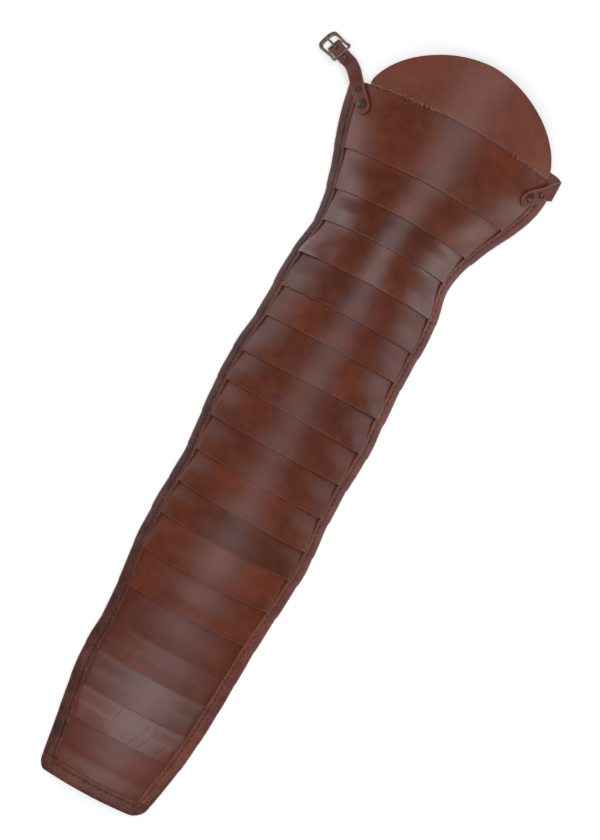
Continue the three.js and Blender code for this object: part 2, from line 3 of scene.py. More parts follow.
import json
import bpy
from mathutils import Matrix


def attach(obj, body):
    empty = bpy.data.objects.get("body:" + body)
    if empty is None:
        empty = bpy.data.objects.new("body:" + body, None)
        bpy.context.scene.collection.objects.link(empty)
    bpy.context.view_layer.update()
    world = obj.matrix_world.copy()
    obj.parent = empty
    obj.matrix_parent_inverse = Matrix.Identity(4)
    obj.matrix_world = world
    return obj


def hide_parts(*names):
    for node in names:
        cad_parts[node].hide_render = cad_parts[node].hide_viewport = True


bl_info = {
    "name": "Leather manica",
    "version": (1, 0, 0),
    "blender": (4, 5, 0),
    "location": "3D View > Sidebar > Manica",
    "description": "Dresses the packed manica with leather, thread and metal, and lights it in a plain studio",
    "category": "Object",
}

from collections import namedtuple
from math import cos, hypot, pi, radians, sin

import bpy
import numpy as np
from mathutils import Matrix, Vector, noise

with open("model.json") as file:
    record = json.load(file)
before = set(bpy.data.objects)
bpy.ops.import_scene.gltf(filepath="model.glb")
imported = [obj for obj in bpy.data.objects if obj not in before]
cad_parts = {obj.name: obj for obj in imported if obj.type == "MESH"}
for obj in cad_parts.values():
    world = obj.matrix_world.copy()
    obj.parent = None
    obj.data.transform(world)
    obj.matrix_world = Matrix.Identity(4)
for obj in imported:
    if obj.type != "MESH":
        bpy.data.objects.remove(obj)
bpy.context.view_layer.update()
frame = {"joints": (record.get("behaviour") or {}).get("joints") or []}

MM = 0.001

# The cutting table's own measures are millimetres, with +Y towards the shoulder. The buckle's bar ties the table
# to the frame.
BAR_ON_TABLE = Vector((-129.5, 309.5, 7.95))
BAR_IN_FRAME = Vector(frame["joints"][0]["pos_m"])
TABLE_SHIFT = np.array(BAR_IN_FRAME - BAR_ON_TABLE * MM)

LAME_THICKNESS = 2.0
CAP_THICKNESS = 2.2
BINDING_THICKNESS = 1.2
STRAP_THICKNESS = 1.8
GAP = 0.3
TABLE_CLEARANCE = 0.05
OVERLAP = 12.0
LAP_STEP = LAME_THICKNESS + GAP
EDGE_LIFT = 2.0
EDGE_ALLOWANCE = 2.4
BINDING_WIDTH = 12.5
BINDING_GAP = 0.5
BINDING_SKIN = BINDING_GAP + BINDING_THICKNESS
SEAM_Y = 293.0
WRIST_Y = -384.5
CORNER_HEIGHT = 14.0
CORNER_LEFT = 8.0
CORNER_RIGHT = 15.0
CAP_CENTRE_X = 4.0
CAP_HALF_WIDTH = 89.0
CAP_DEPTH = 60.0
CAP_POWER = 1.75
CAP_DROOP = 0.3
CAP_END = 0.993
SHOULDER_CORNER_X = 86.0
SHOULDER_CORNER_WIDTH = 16.0
SHOULDER_CORNER_DROP = 5.0
STRAP_WIDTH = 12.6
ROOT_HEIGHT = LAME_THICKNESS + BINDING_SKIN + GAP + STRAP_THICKNESS / 2

# The outline from the wrist to the shoulder: the outer edges and the arch's rise at each section
Section = namedtuple("Section", "y left right rise")
SECTIONS = [
    Section(-384.5, -62.0, 42.0, 9.0),
    Section(-360.0, -65.0, 47.5, 9.5),
    Section(-324.0, -70.0, 54.0, 11.0),
    Section(-288.0, -75.0, 58.0, 12.5),
    Section(-261.0, -76.0, 59.5, 14.0),
    Section(-234.0, -74.5, 60.5, 17.0),
    Section(-198.0, -76.5, 62.0, 22.0),
    Section(-162.0, -80.0, 65.0, 29.5),
    Section(-117.0, -80.0, 68.5, 35.0),
    Section(-72.0, -78.0, 66.0, 37.0),
    Section(-36.0, -81.0, 66.5, 37.0),
    Section(0.0, -83.5, 69.0, 37.0),
    Section(36.0, -83.0, 67.5, 38.0),
    Section(72.0, -79.0, 66.5, 40.0),
    Section(126.0, -78.0, 67.5, 43.0),
    Section(171.0, -73.0, 62.0, 44.0),
    Section(207.0, -80.0, 74.5, 44.0),
    Section(233.0, -88.5, 88.5, 43.0),
    Section(261.0, -97.0, 100.0, 44.0),
    Section(293.0, -104.0, 104.0, 44.0),
]

# The cut edge at the foot of each lame but the last, at its left and right ends, and the look of the lame:
# tone lightens or darkens its dye, gloss is how far it is burnished and waxed, lifts raise its left and right
# corners
Lame = namedtuple("Lame", "left right tone gloss lift_left lift_right")
LAMES = [
    Lame(233.0, 233.0, 0.50, 0.35, 0.4, 0.4),
    Lame(197.0, 196.0, 0.50, 0.45, 0.3, 0.3),
    Lame(167.5, 167.5, 0.36, 0.60, 0.3, 0.6),
    Lame(132.5, 133.0, 0.42, 0.75, 2.4, 0.4),
    Lame(99.0, 99.0, 0.30, 0.30, 0.5, 0.4),
    Lame(68.5, 68.5, 0.46, 0.10, 0.3, 0.5),
    Lame(31.0, 33.0, 0.40, 0.15, 0.4, 2.6),
    Lame(2.0, -2.0, 0.40, 0.05, 0.8, 2.2),
    Lame(-32.5, -35.0, 0.44, 0.05, 0.4, 0.9),
    Lame(-65.0, -69.0, 0.42, 0.05, 0.3, 0.4),
    Lame(-97.5, -102.5, 0.48, 0.05, 0.5, 0.4),
    Lame(-130.0, -131.0, 0.34, 0.05, 0.3, 0.3),
    Lame(-165.5, -165.5, 0.56, 0.20, 0.4, 0.3),
    Lame(-201.5, -201.5, 0.54, 0.20, 0.3, 0.4),
    Lame(-235.0, -235.0, 0.40, 0.10, 0.3, 0.3),
    Lame(-264.0, -266.0, 0.44, 0.20, 0.3, 0.3),
    Lame(-298.0, -298.0, 0.42, 0.80, 0.3, 0.3),
    Lame(-328.0, -328.0, 0.50, 1.00, 0.2, 0.2),
    Lame(None, None, 0.52, 0.40, 0.0, 0.0),
]

LEATHER_BODY = "leather"
FRAME_BODY = "frame"
PRONG_BODY = "prong"

# A piece's own look: how light its dye is, with painted shade and light on the side bindings, how far it is
# burnished and waxed, and the seed of its clouds
Look = namedtuple("Look", "tone gloss seed")
CAP_LOOK = Look(0.52, 0.9, 40.0)
# Painted shade and light: the left binding is toned darker as painted shade and the right one lighter as painted
# light
BINDING_LEFT_SHADED_LOOK = Look(0.2, 0.4, 51.0)
BINDING_RIGHT_LIT_LOOK = Look(0.7, 0.4, 57.0)
BINDING_WRIST_LOOK = Look(0.45, 0.4, 63.0)
BUCKLE_STRAP_LOOK = Look(0.46, 0.4, 71.0)
LONG_STRAP_LOOK = Look(0.46, 0.4, 77.0)

# Turns in degrees: past the first a cut edge is rounded, and past the others each kind of piece is shaded sharp
CUT_EDGE_ANGLE = 55
LEATHER_SMOOTH = 40
FOLDED_SMOOTH = 60
STRAP_SMOOTH = 50
METAL_SMOOTH = 50
THREAD_SMOOTH = 60
BEVEL_SEGMENTS = 2


def smooth_curve(stations, values):
    """A smooth curve through the values at the stations, as a function of the distance along it."""
    stations = np.asarray(stations, float)
    values = np.asarray(values, float)
    slopes = np.diff(values, axis=0) / np.diff(stations)[:, None]
    tangents = np.vstack([slopes[:1], (slopes[1:] + slopes[:-1]) / 2, slopes[-1:]])

    def at(where):
        where = np.asarray(where, float)
        left = np.clip(np.searchsorted(stations, where, side="right") - 1, 0, len(stations) - 2)
        span = stations[left + 1] - stations[left]
        t = ((where - stations[left]) / span)[..., None]
        span = span[..., None]
        return (
            values[left] * (2 * t**3 - 3 * t**2 + 1)
            + tangents[left] * span * (t**3 - 2 * t**2 + t)
            + values[left + 1] * (3 * t**2 - 2 * t**3)
            + tangents[left + 1] * span * (t**3 - t**2)
        )

    return at


section_at = smooth_curve(
    [row.y for row in SECTIONS], [[row.left, row.right, row.rise] for row in SECTIONS]
)


def arch(y):
    """Middle, half width and rise of the arch under the lames."""
    left, right, rise = np.moveaxis(section_at(y), -1, 0)
    return (left + right) / 2, (right - left) / 2 - EDGE_ALLOWANCE, rise


def over_arch(y, s, n):
    """Points n off the arch: s runs from -1 at the left edge of the lames to 1 at the right."""
    y, s, n = np.broadcast_arrays(np.asarray(y, float), s, n)
    middle, half, rise = arch(y)
    lean = 2 * rise * s
    length = np.hypot(lean, half)
    return np.stack(
        [
            middle + half * s + n * lean / length,
            y,
            EDGE_LIFT + rise * (1 - s * s) + n * half / length,
        ],
        -1,
    )


def arch_normal(y, s):
    """The direction straight off the arch."""
    foot, head = over_arch(y, s, 0.0), over_arch(y, s, 1.0)
    return head - foot


def arch_column(x, y, n=0.0):
    """The s of a point that lies n over the arch at x."""
    middle, half, _ = arch(y)
    s = (x - middle) / half
    for _ in range(6):
        s = (x - n * arch_normal(y, s)[..., 0] - middle) / half
    return s


def edge_column(y, side, inset):
    """The s of a point that lies a distance along the arch inside one edge."""
    _, half, rise = arch(y)
    return side * (1 - inset / np.hypot(half, 2 * rise))


def lengths_along(line):
    """How far each point of a line lies from its start."""
    return np.concatenate([[0], np.cumsum(np.linalg.norm(np.diff(line, axis=0), axis=1))])


def read_along(where, lengths, values):
    """Values at distances along a line, read between its points."""
    return np.stack([np.interp(where, lengths, column) for column in values.T], -1)


def unit(vector):
    vector = np.asarray(vector, float)
    return vector / np.linalg.norm(vector)


def ease(t):
    """A soft step from 0 to 1."""
    t = np.clip(t, 0, 1)
    return t * t * (3 - 2 * t)


def ripple(points, wavelength, seed):
    """Smooth noise from about -1 to 1 at each point, with the same result each run."""
    offset = Vector((17.3 * seed, 5.1 * seed, 3.7 * seed))
    flat = np.reshape(points, (-1, 3)) / wavelength
    values = [noise.noise(Vector(p) + offset) for p in flat]
    return np.reshape(values, np.shape(points)[:-1])


# Mesh work, as at the bench


def deselect():
    """Leaves edit mode with nothing selected."""
    if bpy.context.object and bpy.context.object.mode != "OBJECT":
        bpy.ops.object.mode_set(mode="OBJECT")
    bpy.ops.object.select_all(action="DESELECT")


def select_only(piece):
    deselect()
    piece.select_set(True)
    bpy.context.view_layer.objects.active = piece


def name_piece(name):
    """Names the primitive just added."""
    piece = bpy.context.object
    piece.name = name
    piece.data.name = name
    return piece


def cut_strip(name, columns, rows):
    """A flat strip of leather, ready to be shaped: columns across and rows along."""
    deselect()
    bpy.ops.mesh.primitive_grid_add(x_subdivisions=columns, y_subdivisions=rows, size=2)
    return name_piece(name)


def to_frame(points):
    """Points on the cutting table, moved into the frame in metres."""
    return np.asarray(points, float) * MM + TABLE_SHIFT


def shape_strip(piece, points, layout):
    """Moves the strip's vertices to rows of columns of points, with layout as its UV map in metres."""
    mesh = piece.data
    flat = to_frame(np.reshape(points, (-1, 3)))
    mesh.vertices.foreach_set("co", flat.ravel())
    corners = np.empty(len(mesh.loops), int)
    mesh.loops.foreach_get("vertex_index", corners)
    uv = np.reshape(layout, (-1, 2))[corners] * MM
    mesh.uv_layers.active.data.foreach_set("uv", uv.ravel())
    mesh.update()


def apply_modifier(piece, kind, **settings):
    """Adds one modifier with its settings and applies it."""
    select_only(piece)
    modifier = piece.modifiers.new(kind.title(), kind)
    for name, value in settings.items():
        setattr(modifier, name, value)
    bpy.ops.object.modifier_apply(modifier=modifier.name)


def bevel(piece, width, angle):
    """Rounds the edges of the piece that turn further than an angle in degrees."""
    apply_modifier(
        piece,
        "BEVEL",
        width=width,
        segments=BEVEL_SEGMENTS,
        limit_method="ANGLE",
        angle_limit=radians(angle),
    )


def settle():
    """Puts the active piece's place, turn and size into its mesh."""
    bpy.ops.object.transform_apply(location=True, rotation=True, scale=True)


def edit_all():
    """Enters edit mode with all of the active piece selected."""
    bpy.ops.object.mode_set(mode="EDIT")
    bpy.ops.mesh.select_all(action="SELECT")


def face_outwards(piece):
    """Turns every face of the piece outwards."""
    select_only(piece)
    edit_all()
    bpy.ops.mesh.normals_make_consistent(inside=False)
    bpy.ops.object.mode_set(mode="OBJECT")


def thicken(piece, thickness, edge_round):
    """Gives a shaped strip its thickness in metres, under its outer face, and rounds its cut edges."""
    apply_modifier(piece, "SOLIDIFY", thickness=thickness, offset=-1.0)
    bevel(piece, edge_round, CUT_EDGE_ANGLE)


def smooth_faces(piece, angle):
    """Shades the piece smooth apart from edges that turn further than an angle in degrees."""
    select_only(piece)
    bpy.ops.object.shade_smooth_by_angle(angle=radians(angle))


def give_look(piece, look):
    """Gives every point of the piece its look as named attributes, for its finish to read."""
    mesh = piece.data
    for name, value in look._asdict().items():
        attribute = mesh.attributes.new(name, "FLOAT", "POINT")
        attribute.data.foreach_set("value", np.full(len(mesh.vertices), value, np.float32))


def finish_piece(piece, body, slot, material, *nodes):
    """Gives the piece its finish and ties it to the frame."""
    piece.data.materials.clear()
    piece.data.materials.append(material)
    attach(piece, body)
    if nodes:
        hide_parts(*nodes)
    return piece


def join_pieces(name, pieces):
    """Joins several meshes into one piece."""
    deselect()
    for piece in pieces:
        piece.select_set(True)
    bpy.context.view_layer.objects.active = pieces[0]
    bpy.ops.object.join()
    return name_piece(name)


def place_piece(piece, matrix):
    """Puts a piece modelled at the origin where it belongs, with its place in its mesh."""
    piece.matrix_world = matrix
    select_only(piece)
    settle()


# Finishes


def dye(red, green, blue):
    """A colour given as screen values from 0 to 255, as the light it stands for."""
    return tuple(((value / 255 + 0.055) / 1.055) ** 2.4 for value in (red, green, blue))


WHITE = (1.0, 1.0, 1.0)


def toned(colour, share):
    """A colour made lighter or darker, with its alpha."""
    return (*(min(1.0, value * share) for value in colour), 1.0)


class Wire:
    """A socket in a finish, on which sums and products add Math nodes."""

    def __init__(self, tree, socket):
        self.tree = tree
        self.socket = socket

    def node(self, kind, settings=None, sockets=None, out=0):
        """Adds a node, sets it up, then gives its sockets values or links, and returns one of its outputs."""
        made = self.tree.nodes.new(kind)
        for name, value in (settings or {}).items():
            if name == "stops":
                stops = made.color_ramp.elements
                while len(stops) < len(value):
                    stops.new(1.0)
                for stop, (position, colour) in zip(stops, value):
                    stop.position = position
                    stop.color = colour
            else:
                setattr(made, name, value)
        for name, value in (sockets or {}).items():
            if isinstance(value, Wire):
                self.tree.links.new(value.socket, made.inputs[name])
            else:
                made.inputs[name].default_value = value
        return Wire(self.tree, made.outputs[out])

    def maths(self, operation, first, second):
        return self.node("ShaderNodeMath", {"operation": operation}, {0: first, 1: second})

    def __add__(self, other):
        return self.maths("ADD", self, other)

    __radd__ = __add__

    def __sub__(self, other):
        return self.maths("SUBTRACT", self, other)

    def __rsub__(self, other):
        return self.maths("SUBTRACT", other, self)

    def __mul__(self, other):
        return self.maths("MULTIPLY", self, other)


def start_finish(name):
    """A new material, its shader and its Object coordinates."""
    material = bpy.data.materials.new(name)
    material.use_nodes = True
    tree = material.node_tree
    place = Wire(tree, tree.nodes.new("ShaderNodeTexCoord").outputs["Object"])
    return material, tree.nodes["Principled BSDF"], place


def feed(shader, **sources):
    """Links wires to the shader's sockets, and sets the sockets that are the same all over."""
    for name, source in sources.items():
        socket = shader.inputs[name.replace("_", " ")]
        if isinstance(source, Wire):
            source.tree.links.new(source.socket, socket)
        else:
            socket.default_value = source


def attribute(place, name):
    return place.node("ShaderNodeAttribute", {"attribute_name": name}, out="Fac")


def cloud(place, scale, detail=2.0, rough=0.5):
    """Noise from 0 to 1."""
    return place.node(
        "ShaderNodeTexNoise",
        sockets={"Vector": place, "Scale": scale, "Detail": detail, "Roughness": rough},
    )


def stretched(place, x, y, z):
    return place.node("ShaderNodeMapping", sockets={"Vector": place, "Scale": (x, y, z)})


def fade(value, start, end):
    """1 at start, falling softly to 0 at end."""
    return value.node(
        "ShaderNodeMapRange",
        {"interpolation_type": "SMOOTHSTEP"},
        {"Value": value, "From Min": start, "From Max": end, "To Min": 1.0, "To Max": 0.0},
    )


def colour_ramp(value, stops):
    """Colours for values from 0 to 1, blended from stop to stop."""
    return value.node("ShaderNodeValToRGB", {"stops": stops}, {"Fac": value})


def blend_colours(share, first, second):
    return share.node("ShaderNodeMix", {"data_type": "RGBA"}, {0: share, 6: first, 7: second}, out=2)


def raised(height, strength, distance, under=None):
    sockets = {"Height": height, "Strength": strength, "Distance": distance * MM}
    if under is not None:
        sockets["Normal"] = under
    return height.node("ShaderNodeBump", sockets=sockets)


# A kind of leather: pore size and height in millimetres, roughness, shine, its coat of wax, how strongly its dye
# clouds, the width of the painted highlight along its cut edge in millimetres, and how light that highlight is
Hide = namedtuple("Hide", "pore pore_height roughness shine wax clouding worn_width worn")
LAME_HIDE = Hide(0.8, 0.10, 0.42, 0.45, 0.9, 0.82, 0.9, 0.45)
CAP_HIDE = Hide(0.9, 0.12, 0.5, 0.5, 0.4, 0.55, 0.8, 0.35)
BINDING_HIDE = Hide(1.5, 0.45, 0.52, 0.45, 0.0, 1.7, 0.9, 0.35)
STRAP_HIDE = Hide(0.8, 0.10, 0.50, 0.4, 0.2, 0.5, 1.2, 0.55)

# The roughness of the wax coat, and the tint of light off the leather, which is a little cooler than its dye
WAX_ROUGHNESS = 0.32
COOL_SHEEN = (0.82, 0.89, 1.0, 1.0)

# Stops of a dye ramp: how deep the dye is, and the share of the leather's own colour there
DYE_STOPS = ((0.0, 0.42), (0.3, 0.72), (0.55, 1.0), (0.8, 1.32), (1.0, 1.65))
# The colour of the painted highlight along the cut edges, where their corners catch the light
EDGE_HIGHLIGHT_COLOUR = dye(168, 118, 104)

# How far each noise shifts the dye, and how far apart two seeds lie in the noise, in metres
BROAD_SHARE = 0.75
MOTTLE_SHARE = 0.85
FIBRE_SHARE = 0.5
FLECK_SHARE = 0.5
SEED_STEP = Vector((0.31, 0.17, 0.53))

# Dark smudges on the lames: places on the cutting table, with the share of each that is darkest and its shade
MARK_CORE = 0.2
MARK_SHADE = 0.38
Mark = namedtuple("Mark", "x y radius strength")
LAME_MARKS = [
    Mark(-57.6, 271.2, 4.0, 0.4),
    Mark(59.4, 241.2, 4.0, 0.5),
    Mark(-27.0, 9.0, 7.0, 0.35),
    Mark(-44.0, -162.0, 9.0, 0.3),
    Mark(-12.0, 168.0, 7.0, 0.25),
    Mark(-58.0, -210.0, 8.0, 0.4),
]


def leather(name, colour, hide, marks=()):
    """Dyed and burnished leather: clouded dye, fine pores, fibres and a painted highlight along the cut edge."""
    material, shader, place = start_finish(name)
    tone, gloss, seed = (attribute(place, key) for key in ("tone", "gloss", "seed"))
    steps = {"X": seed * SEED_STEP.x, "Y": seed * SEED_STEP.y, "Z": seed * SEED_STEP.z}
    offset = place.node("ShaderNodeCombineXYZ", sockets=steps)
    skin = place.node("ShaderNodeVectorMath", {"operation": "ADD"}, {0: place, 1: offset})
    broad = cloud(skin, 24.0, 3.0, 0.5)
    mottle = cloud(skin, 85.0, 5.0, 0.62)
    fibres = cloud(stretched(skin, 260.0, 1100.0, 600.0), 1.0, 4.0, 0.6)
    flecks = cloud(skin, 900.0, 3.0, 0.6)
    # The dye's depth follows the piece's tone, which on the side bindings also carries painted shade and light
    depth = (
        tone
        + (broad - 0.5) * (BROAD_SHARE * hide.clouding)
        + (mottle - 0.5) * (MOTTLE_SHARE * hide.clouding)
        + (fibres - 0.5) * (FIBRE_SHARE * hide.clouding)
        + (flecks - 0.5) * FLECK_SHARE
    )
    dyed = colour_ramp(depth, [(stop, toned(colour, share)) for stop, share in DYE_STOPS])
    for spot in marks:
        middle = over_arch(spot.y, arch_column(spot.x, np.array(spot.y), LAME_THICKNESS), LAME_THICKNESS)
        radius = spot.radius * MM
        away = place.node(
            "ShaderNodeVectorMath",
            {"operation": "DISTANCE"},
            {0: place, 1: tuple(to_frame(middle))},
            out="Value",
        )
        smudge = fade(away + (mottle - 0.5) * radius, MARK_CORE * radius, radius)
        dyed = blend_colours(smudge * spot.strength, dyed, toned(colour, MARK_SHADE))
    along = place.node("ShaderNodeSeparateXYZ", sockets={0: place.node("ShaderNodeUVMap")}, out="Y")
    # Painted highlight: a pale line along the cut edge, where its corner catches the light
    edge = fade(along + (flecks - 0.5) * (0.5 * MM), 0.0, hide.worn_width * MM)
    worn = blend_colours(edge * hide.worn, dyed, toned(EDGE_HIGHLIGHT_COLOUR, 1.0))
    pores = place.node(
        "ShaderNodeTexVoronoi",
        {"feature": "SMOOTH_F1"},
        {"Vector": skin, "Scale": 1.0 / (hide.pore * MM), "Smoothness": 0.6},
    )
    rolls = raised(cloud(skin, 60.0, 2.0), 0.5, 0.35)
    creases = raised(cloud(stretched(skin, 420.0, 260.0, 400.0), 1.0, 5.0, 0.7), 0.4, hide.pore_height, rolls)
    feed(
        shader,
        Base_Color=worn,
        Roughness=hide.roughness - gloss * 0.06 + (mottle - 0.5) * 0.22 + (flecks - 0.5) * 0.12,
        Normal=raised(pores, 0.55, hide.pore_height, creases),
        Specular_IOR_Level=hide.shine,
        Specular_Tint=COOL_SHEEN,
        Coat_Weight=gloss * hide.wax,
        Coat_Roughness=WAX_ROUGHNESS,
    )
    return material


def waxed_thread(name, colour):
    """Twisted thread, with its plies and dirt."""
    material, shader, place = start_finish(name)
    plies = place.node(
        "ShaderNodeTexWave",
        {"bands_direction": "DIAGONAL"},
        {"Vector": place, "Scale": 420.0, "Distortion": 1.5},
    )
    dirt = cloud(place, 300.0, 4.0, 0.6)
    # The colour is clouded by dirt, and darker in the grooves between the plies, which is painted shade
    stops = [(0.25, toned(colour, 0.45)), (0.55, toned(colour, 1.0)), (0.9, toned(colour, 1.35))]
    feed(
        shader,
        Base_Color=colour_ramp(dirt * 0.7 + plies * 0.3, stops),
        Roughness=0.6 + (dirt - 0.5) * 0.3,
        Normal=raised(plies, 0.6, 0.12),
    )
    return material


BRASS_SHINE = 0.4
STEEL_SHINE = 0.6


def aged_metal(name, colour, patina, shine):
    """Metal with a dull patina that is rubbed bright in places."""
    material, shader, place = start_finish(name)
    stain = cloud(place, 320.0, 4.0, 0.6)
    pits = cloud(place, 1500.0, 3.0, 0.6)
    stops = [(0.3, toned(patina, 0.7)), (0.48, toned(patina, 1.25)), (0.66, toned(colour, 1.0))]
    feed(
        shader,
        Base_Color=colour_ramp(stain * 0.75 + pits * 0.25, stops),
        Metallic=0.55 + stain * 0.5,
        Roughness=0.62 - shine * 0.3 - (stain - 0.5) * 0.4,
        Normal=raised(pits, 0.5, 0.1, raised(stain, 0.4, 0.2)),
    )
    return material


def pale_table_top(name, glow):
    """A smooth pale table top with a faint grain, which gives a little light of its own."""
    material, shader, place = start_finish(name)
    stops = [(0.0, toned(WHITE, 0.86)), (1.0, toned(WHITE, 0.9))]
    feed(
        shader,
        Base_Color=colour_ramp(cloud(place, 40.0, 3.0), stops),
        Roughness=0.75,
        Specular_IOR_Level=0.2,
        Emission_Color=toned(WHITE, 1.0),
        Emission_Strength=glow,
    )
    return material


# Sizes and colours that a user would change


def length_property(name, description, millimetres):
    return bpy.props.FloatProperty(name=name, description=description, default=millimetres * MM, unit="LENGTH")


class ManicaSizes(bpy.types.PropertyGroup):
    """Thicknesses, edges and stitches."""

    lame_thickness: length_property("Lame thickness", "Thickness of each lame", LAME_THICKNESS)
    cap_thickness: length_property("Cap thickness", "Thickness of the shoulder cap", CAP_THICKNESS)
    binding_thickness: length_property(
        "Binding thickness", "Thickness of the folded edge binding", BINDING_THICKNESS
    )
    strap_thickness: length_property("Strap thickness", "Thickness of both straps", STRAP_THICKNESS)
    edge_round: length_property("Edge rounding", "Rounding of the cut edges", 0.35)
    stitch_pitch: length_property("Stitch pitch", "Distance from stitch to stitch", 5.5)
    thread_width: length_property("Thread width", "Thickness of the sewing thread", 0.7)


def colour_property(name, description, red, green, blue):
    return bpy.props.FloatVectorProperty(
        name=name, description=description, subtype="COLOR", size=3, min=0.0, max=1.0, default=dye(red, green, blue)
    )


class ManicaColours(bpy.types.PropertyGroup):
    """Dyes of the leathers and colours of thread and metal."""

    lame: colour_property("Lames", "Dye of the lames", 114, 52, 27)
    # The cap's dye is lighter and pinker than the lames': partly its own leather, partly painted sheen where the
    # cap faces the light
    cap: colour_property("Cap", "Dye of the shoulder cap", 134, 73, 53)
    binding: colour_property("Binding", "Dye of the edge binding", 112, 60, 44)
    strap: colour_property("Straps", "Dye of the straps", 124, 66, 52)
    seam_thread: colour_property("Seam thread", "Thread of the shoulder seam", 158, 112, 98)
    binding_thread: colour_property("Binding thread", "Thread of the edge binding", 66, 38, 32)
    steel: colour_property("Buckle", "Rubbed metal of the buckle", 206, 198, 184)
    steel_patina: colour_property("Buckle patina", "Dull patina of the buckle", 134, 122, 106)
    brass: colour_property("Rivets", "Rubbed metal of the rivets", 138, 122, 92)
    brass_patina: colour_property("Rivet patina", "Dull patina of the rivets", 74, 64, 44)


def power_property(name, description, watts):
    return bpy.props.FloatProperty(name=name, description=description, default=watts, unit="POWER")


class ManicaLight(bpy.types.PropertyGroup):
    """The studio's lights."""

    overhead: power_property("Overhead", "Power of the softbox over the table", 22.0)
    fill: power_property("Fill", "Power of the fill light, which leaves no highlight", 9.0)
    wrist: power_property("Wrist", "Power of the wide softbox over the wrist", 11.0)
    sides: power_property("Sides", "Power of each low softbox", 0.85)
    surroundings: bpy.props.FloatProperty(
        name="Surroundings", description="Brightness of the room", default=0.03, min=0.0, subtype="FACTOR"
    )
    table_glow: bpy.props.FloatProperty(
        name="Table glow", description="Light that the table top gives of its own", default=0.43, min=0.0
    )


# Lames and cap

LAME_COLUMNS = 128
LAME_ROWS = 26
CAP_ROWS = 40
BULGE = 0.12
SWELL = 0.35
SWELL_LENGTH = 80.0
ROW_CROWDING = 1.25
LAYOUT_HALF = 70.0
BOUND_REACH = 1.4
CURL = 0.35
CURL_LENGTH = 24.0
SEAM_LUMP = 0.55
SEAM_LUMP_LENGTH = 5.0
SEAM_LUMP_BIAS = 0.45
SEAM_REACH = 3.0
FINE_SEAM = 0.25
COARSE_EASE = 8.0
CAP_WAVE = 0.6
CAP_WAVE_LENGTH = 38.0
CAP_WAVE_EASE = 20.0
CAP_ROLL = 0.5
CAP_ROLL_REACH = 2.0

# A lifted corner, as shares of the way from a lame's middle to its side, and how far up the lame it reaches
LIFT_START = 0.5
LIFT_EASE = 0.28
LIFT_END = 0.86
LIFT_FALL = 0.12
LIFT_LENGTH = 22.0

# The dip across the last lame
WRIST_DIP = 0.5
WRIST_DIP_Y = -357.5
WRIST_DIP_WIDTH = 5.0

# Stretches of the shoulder seam, from and to along x, where it is coarsely sewn
Coarse = namedtuple("Coarse", "start end")
COARSE_SEAM = [Coarse(-82.0, -16.0), Coarse(56.0, 84.0)]

# Pressed creases across one lame near the wrist, each a line on the cutting table with its depth
Crease = namedtuple("Crease", "x y end_x end_y depth")
WRIST_CREASES = [
    Crease(-19.0, -301.0, -24.0, -319.0, 0.12),
    Crease(-7.0, -306.0, -15.0, -322.0, 0.07),
    Crease(4.0, -301.0, -2.0, -313.0, 0.09),
    Crease(13.0, -304.0, 1.0, -327.0, 0.15),
    Crease(21.0, -306.0, 10.0, -326.0, 0.11),
    Crease(30.0, -304.0, 25.0, -316.0, 0.07),
    Crease(36.0, -308.0, 27.0, -324.0, 0.09),
]
CREASE_WIDTH = 1.1
CREASED_LAME = 17


def seam_edge(s):
    """The head of the first lame, along the seam, with its corners dropped."""
    x = over_arch(np.full(np.shape(s), SEAM_Y), s, 0.0)[..., 0]
    past = np.maximum(0, np.abs(x) - SHOULDER_CORNER_X) / SHOULDER_CORNER_WIDTH
    return SEAM_Y - GAP - SHOULDER_CORNER_DROP * past**2


def corner_rise(distance, width):
    past = np.clip(1 - distance / width, 0, 1)
    return CORNER_HEIGHT * (1 - np.sqrt(1 - past**2))


def wrist_edge(s):
    """The foot of the last lame, with its corners rounded."""
    middle, half, _ = arch(np.array(WRIST_Y + CORNER_HEIGHT))
    x = middle + half * s
    rise = corner_rise(x - middle + half, CORNER_LEFT) + corner_rise(middle + half - x, CORNER_RIGHT)
    return WRIST_Y + BINDING_SKIN + rise


def cut_edge(lame, s):
    return lame.left + (lame.right - lame.left) * (s + 1) / 2


def swell(points):
    """The slow unevenness of the whole manica, the same for pieces that lie on each other."""
    return SWELL * ripple(points, SWELL_LENGTH, 1)


def seam_lumps(points, off_seam):
    """Lumps where the seam pulls at the leather."""
    x = points[..., 0]
    coarse = sum(ease((x - c.start) / COARSE_EASE) * ease((c.end - x) / COARSE_EASE) for c in COARSE_SEAM)
    lumps = SEAM_LUMP_BIAS + ripple(points, SEAM_LUMP_LENGTH, 2)
    return SEAM_LUMP * (FINE_SEAM + coarse) * lumps * np.exp(-off_seam / SEAM_REACH)


def crease_depth(points):
    depth = 0
    for crease in WRIST_CREASES:
        start = np.array([crease.x, crease.y])
        run = np.array([crease.end_x, crease.end_y]) - start
        away = points[..., :2] - start
        t = np.clip((away @ run) / (run @ run), 0, 1)
        distance = np.linalg.norm(away - t[..., None] * run, axis=-1)
        depth = depth + crease.depth * np.exp(-((distance / CREASE_WIDTH) ** 2))
    return depth


def corner_lift(s):
    """How far a corner of a lame is lifted, with s from its middle to that side."""
    return ease((s - LIFT_START) / LIFT_EASE) * (1 - ease((s - LIFT_END) / LIFT_FALL))


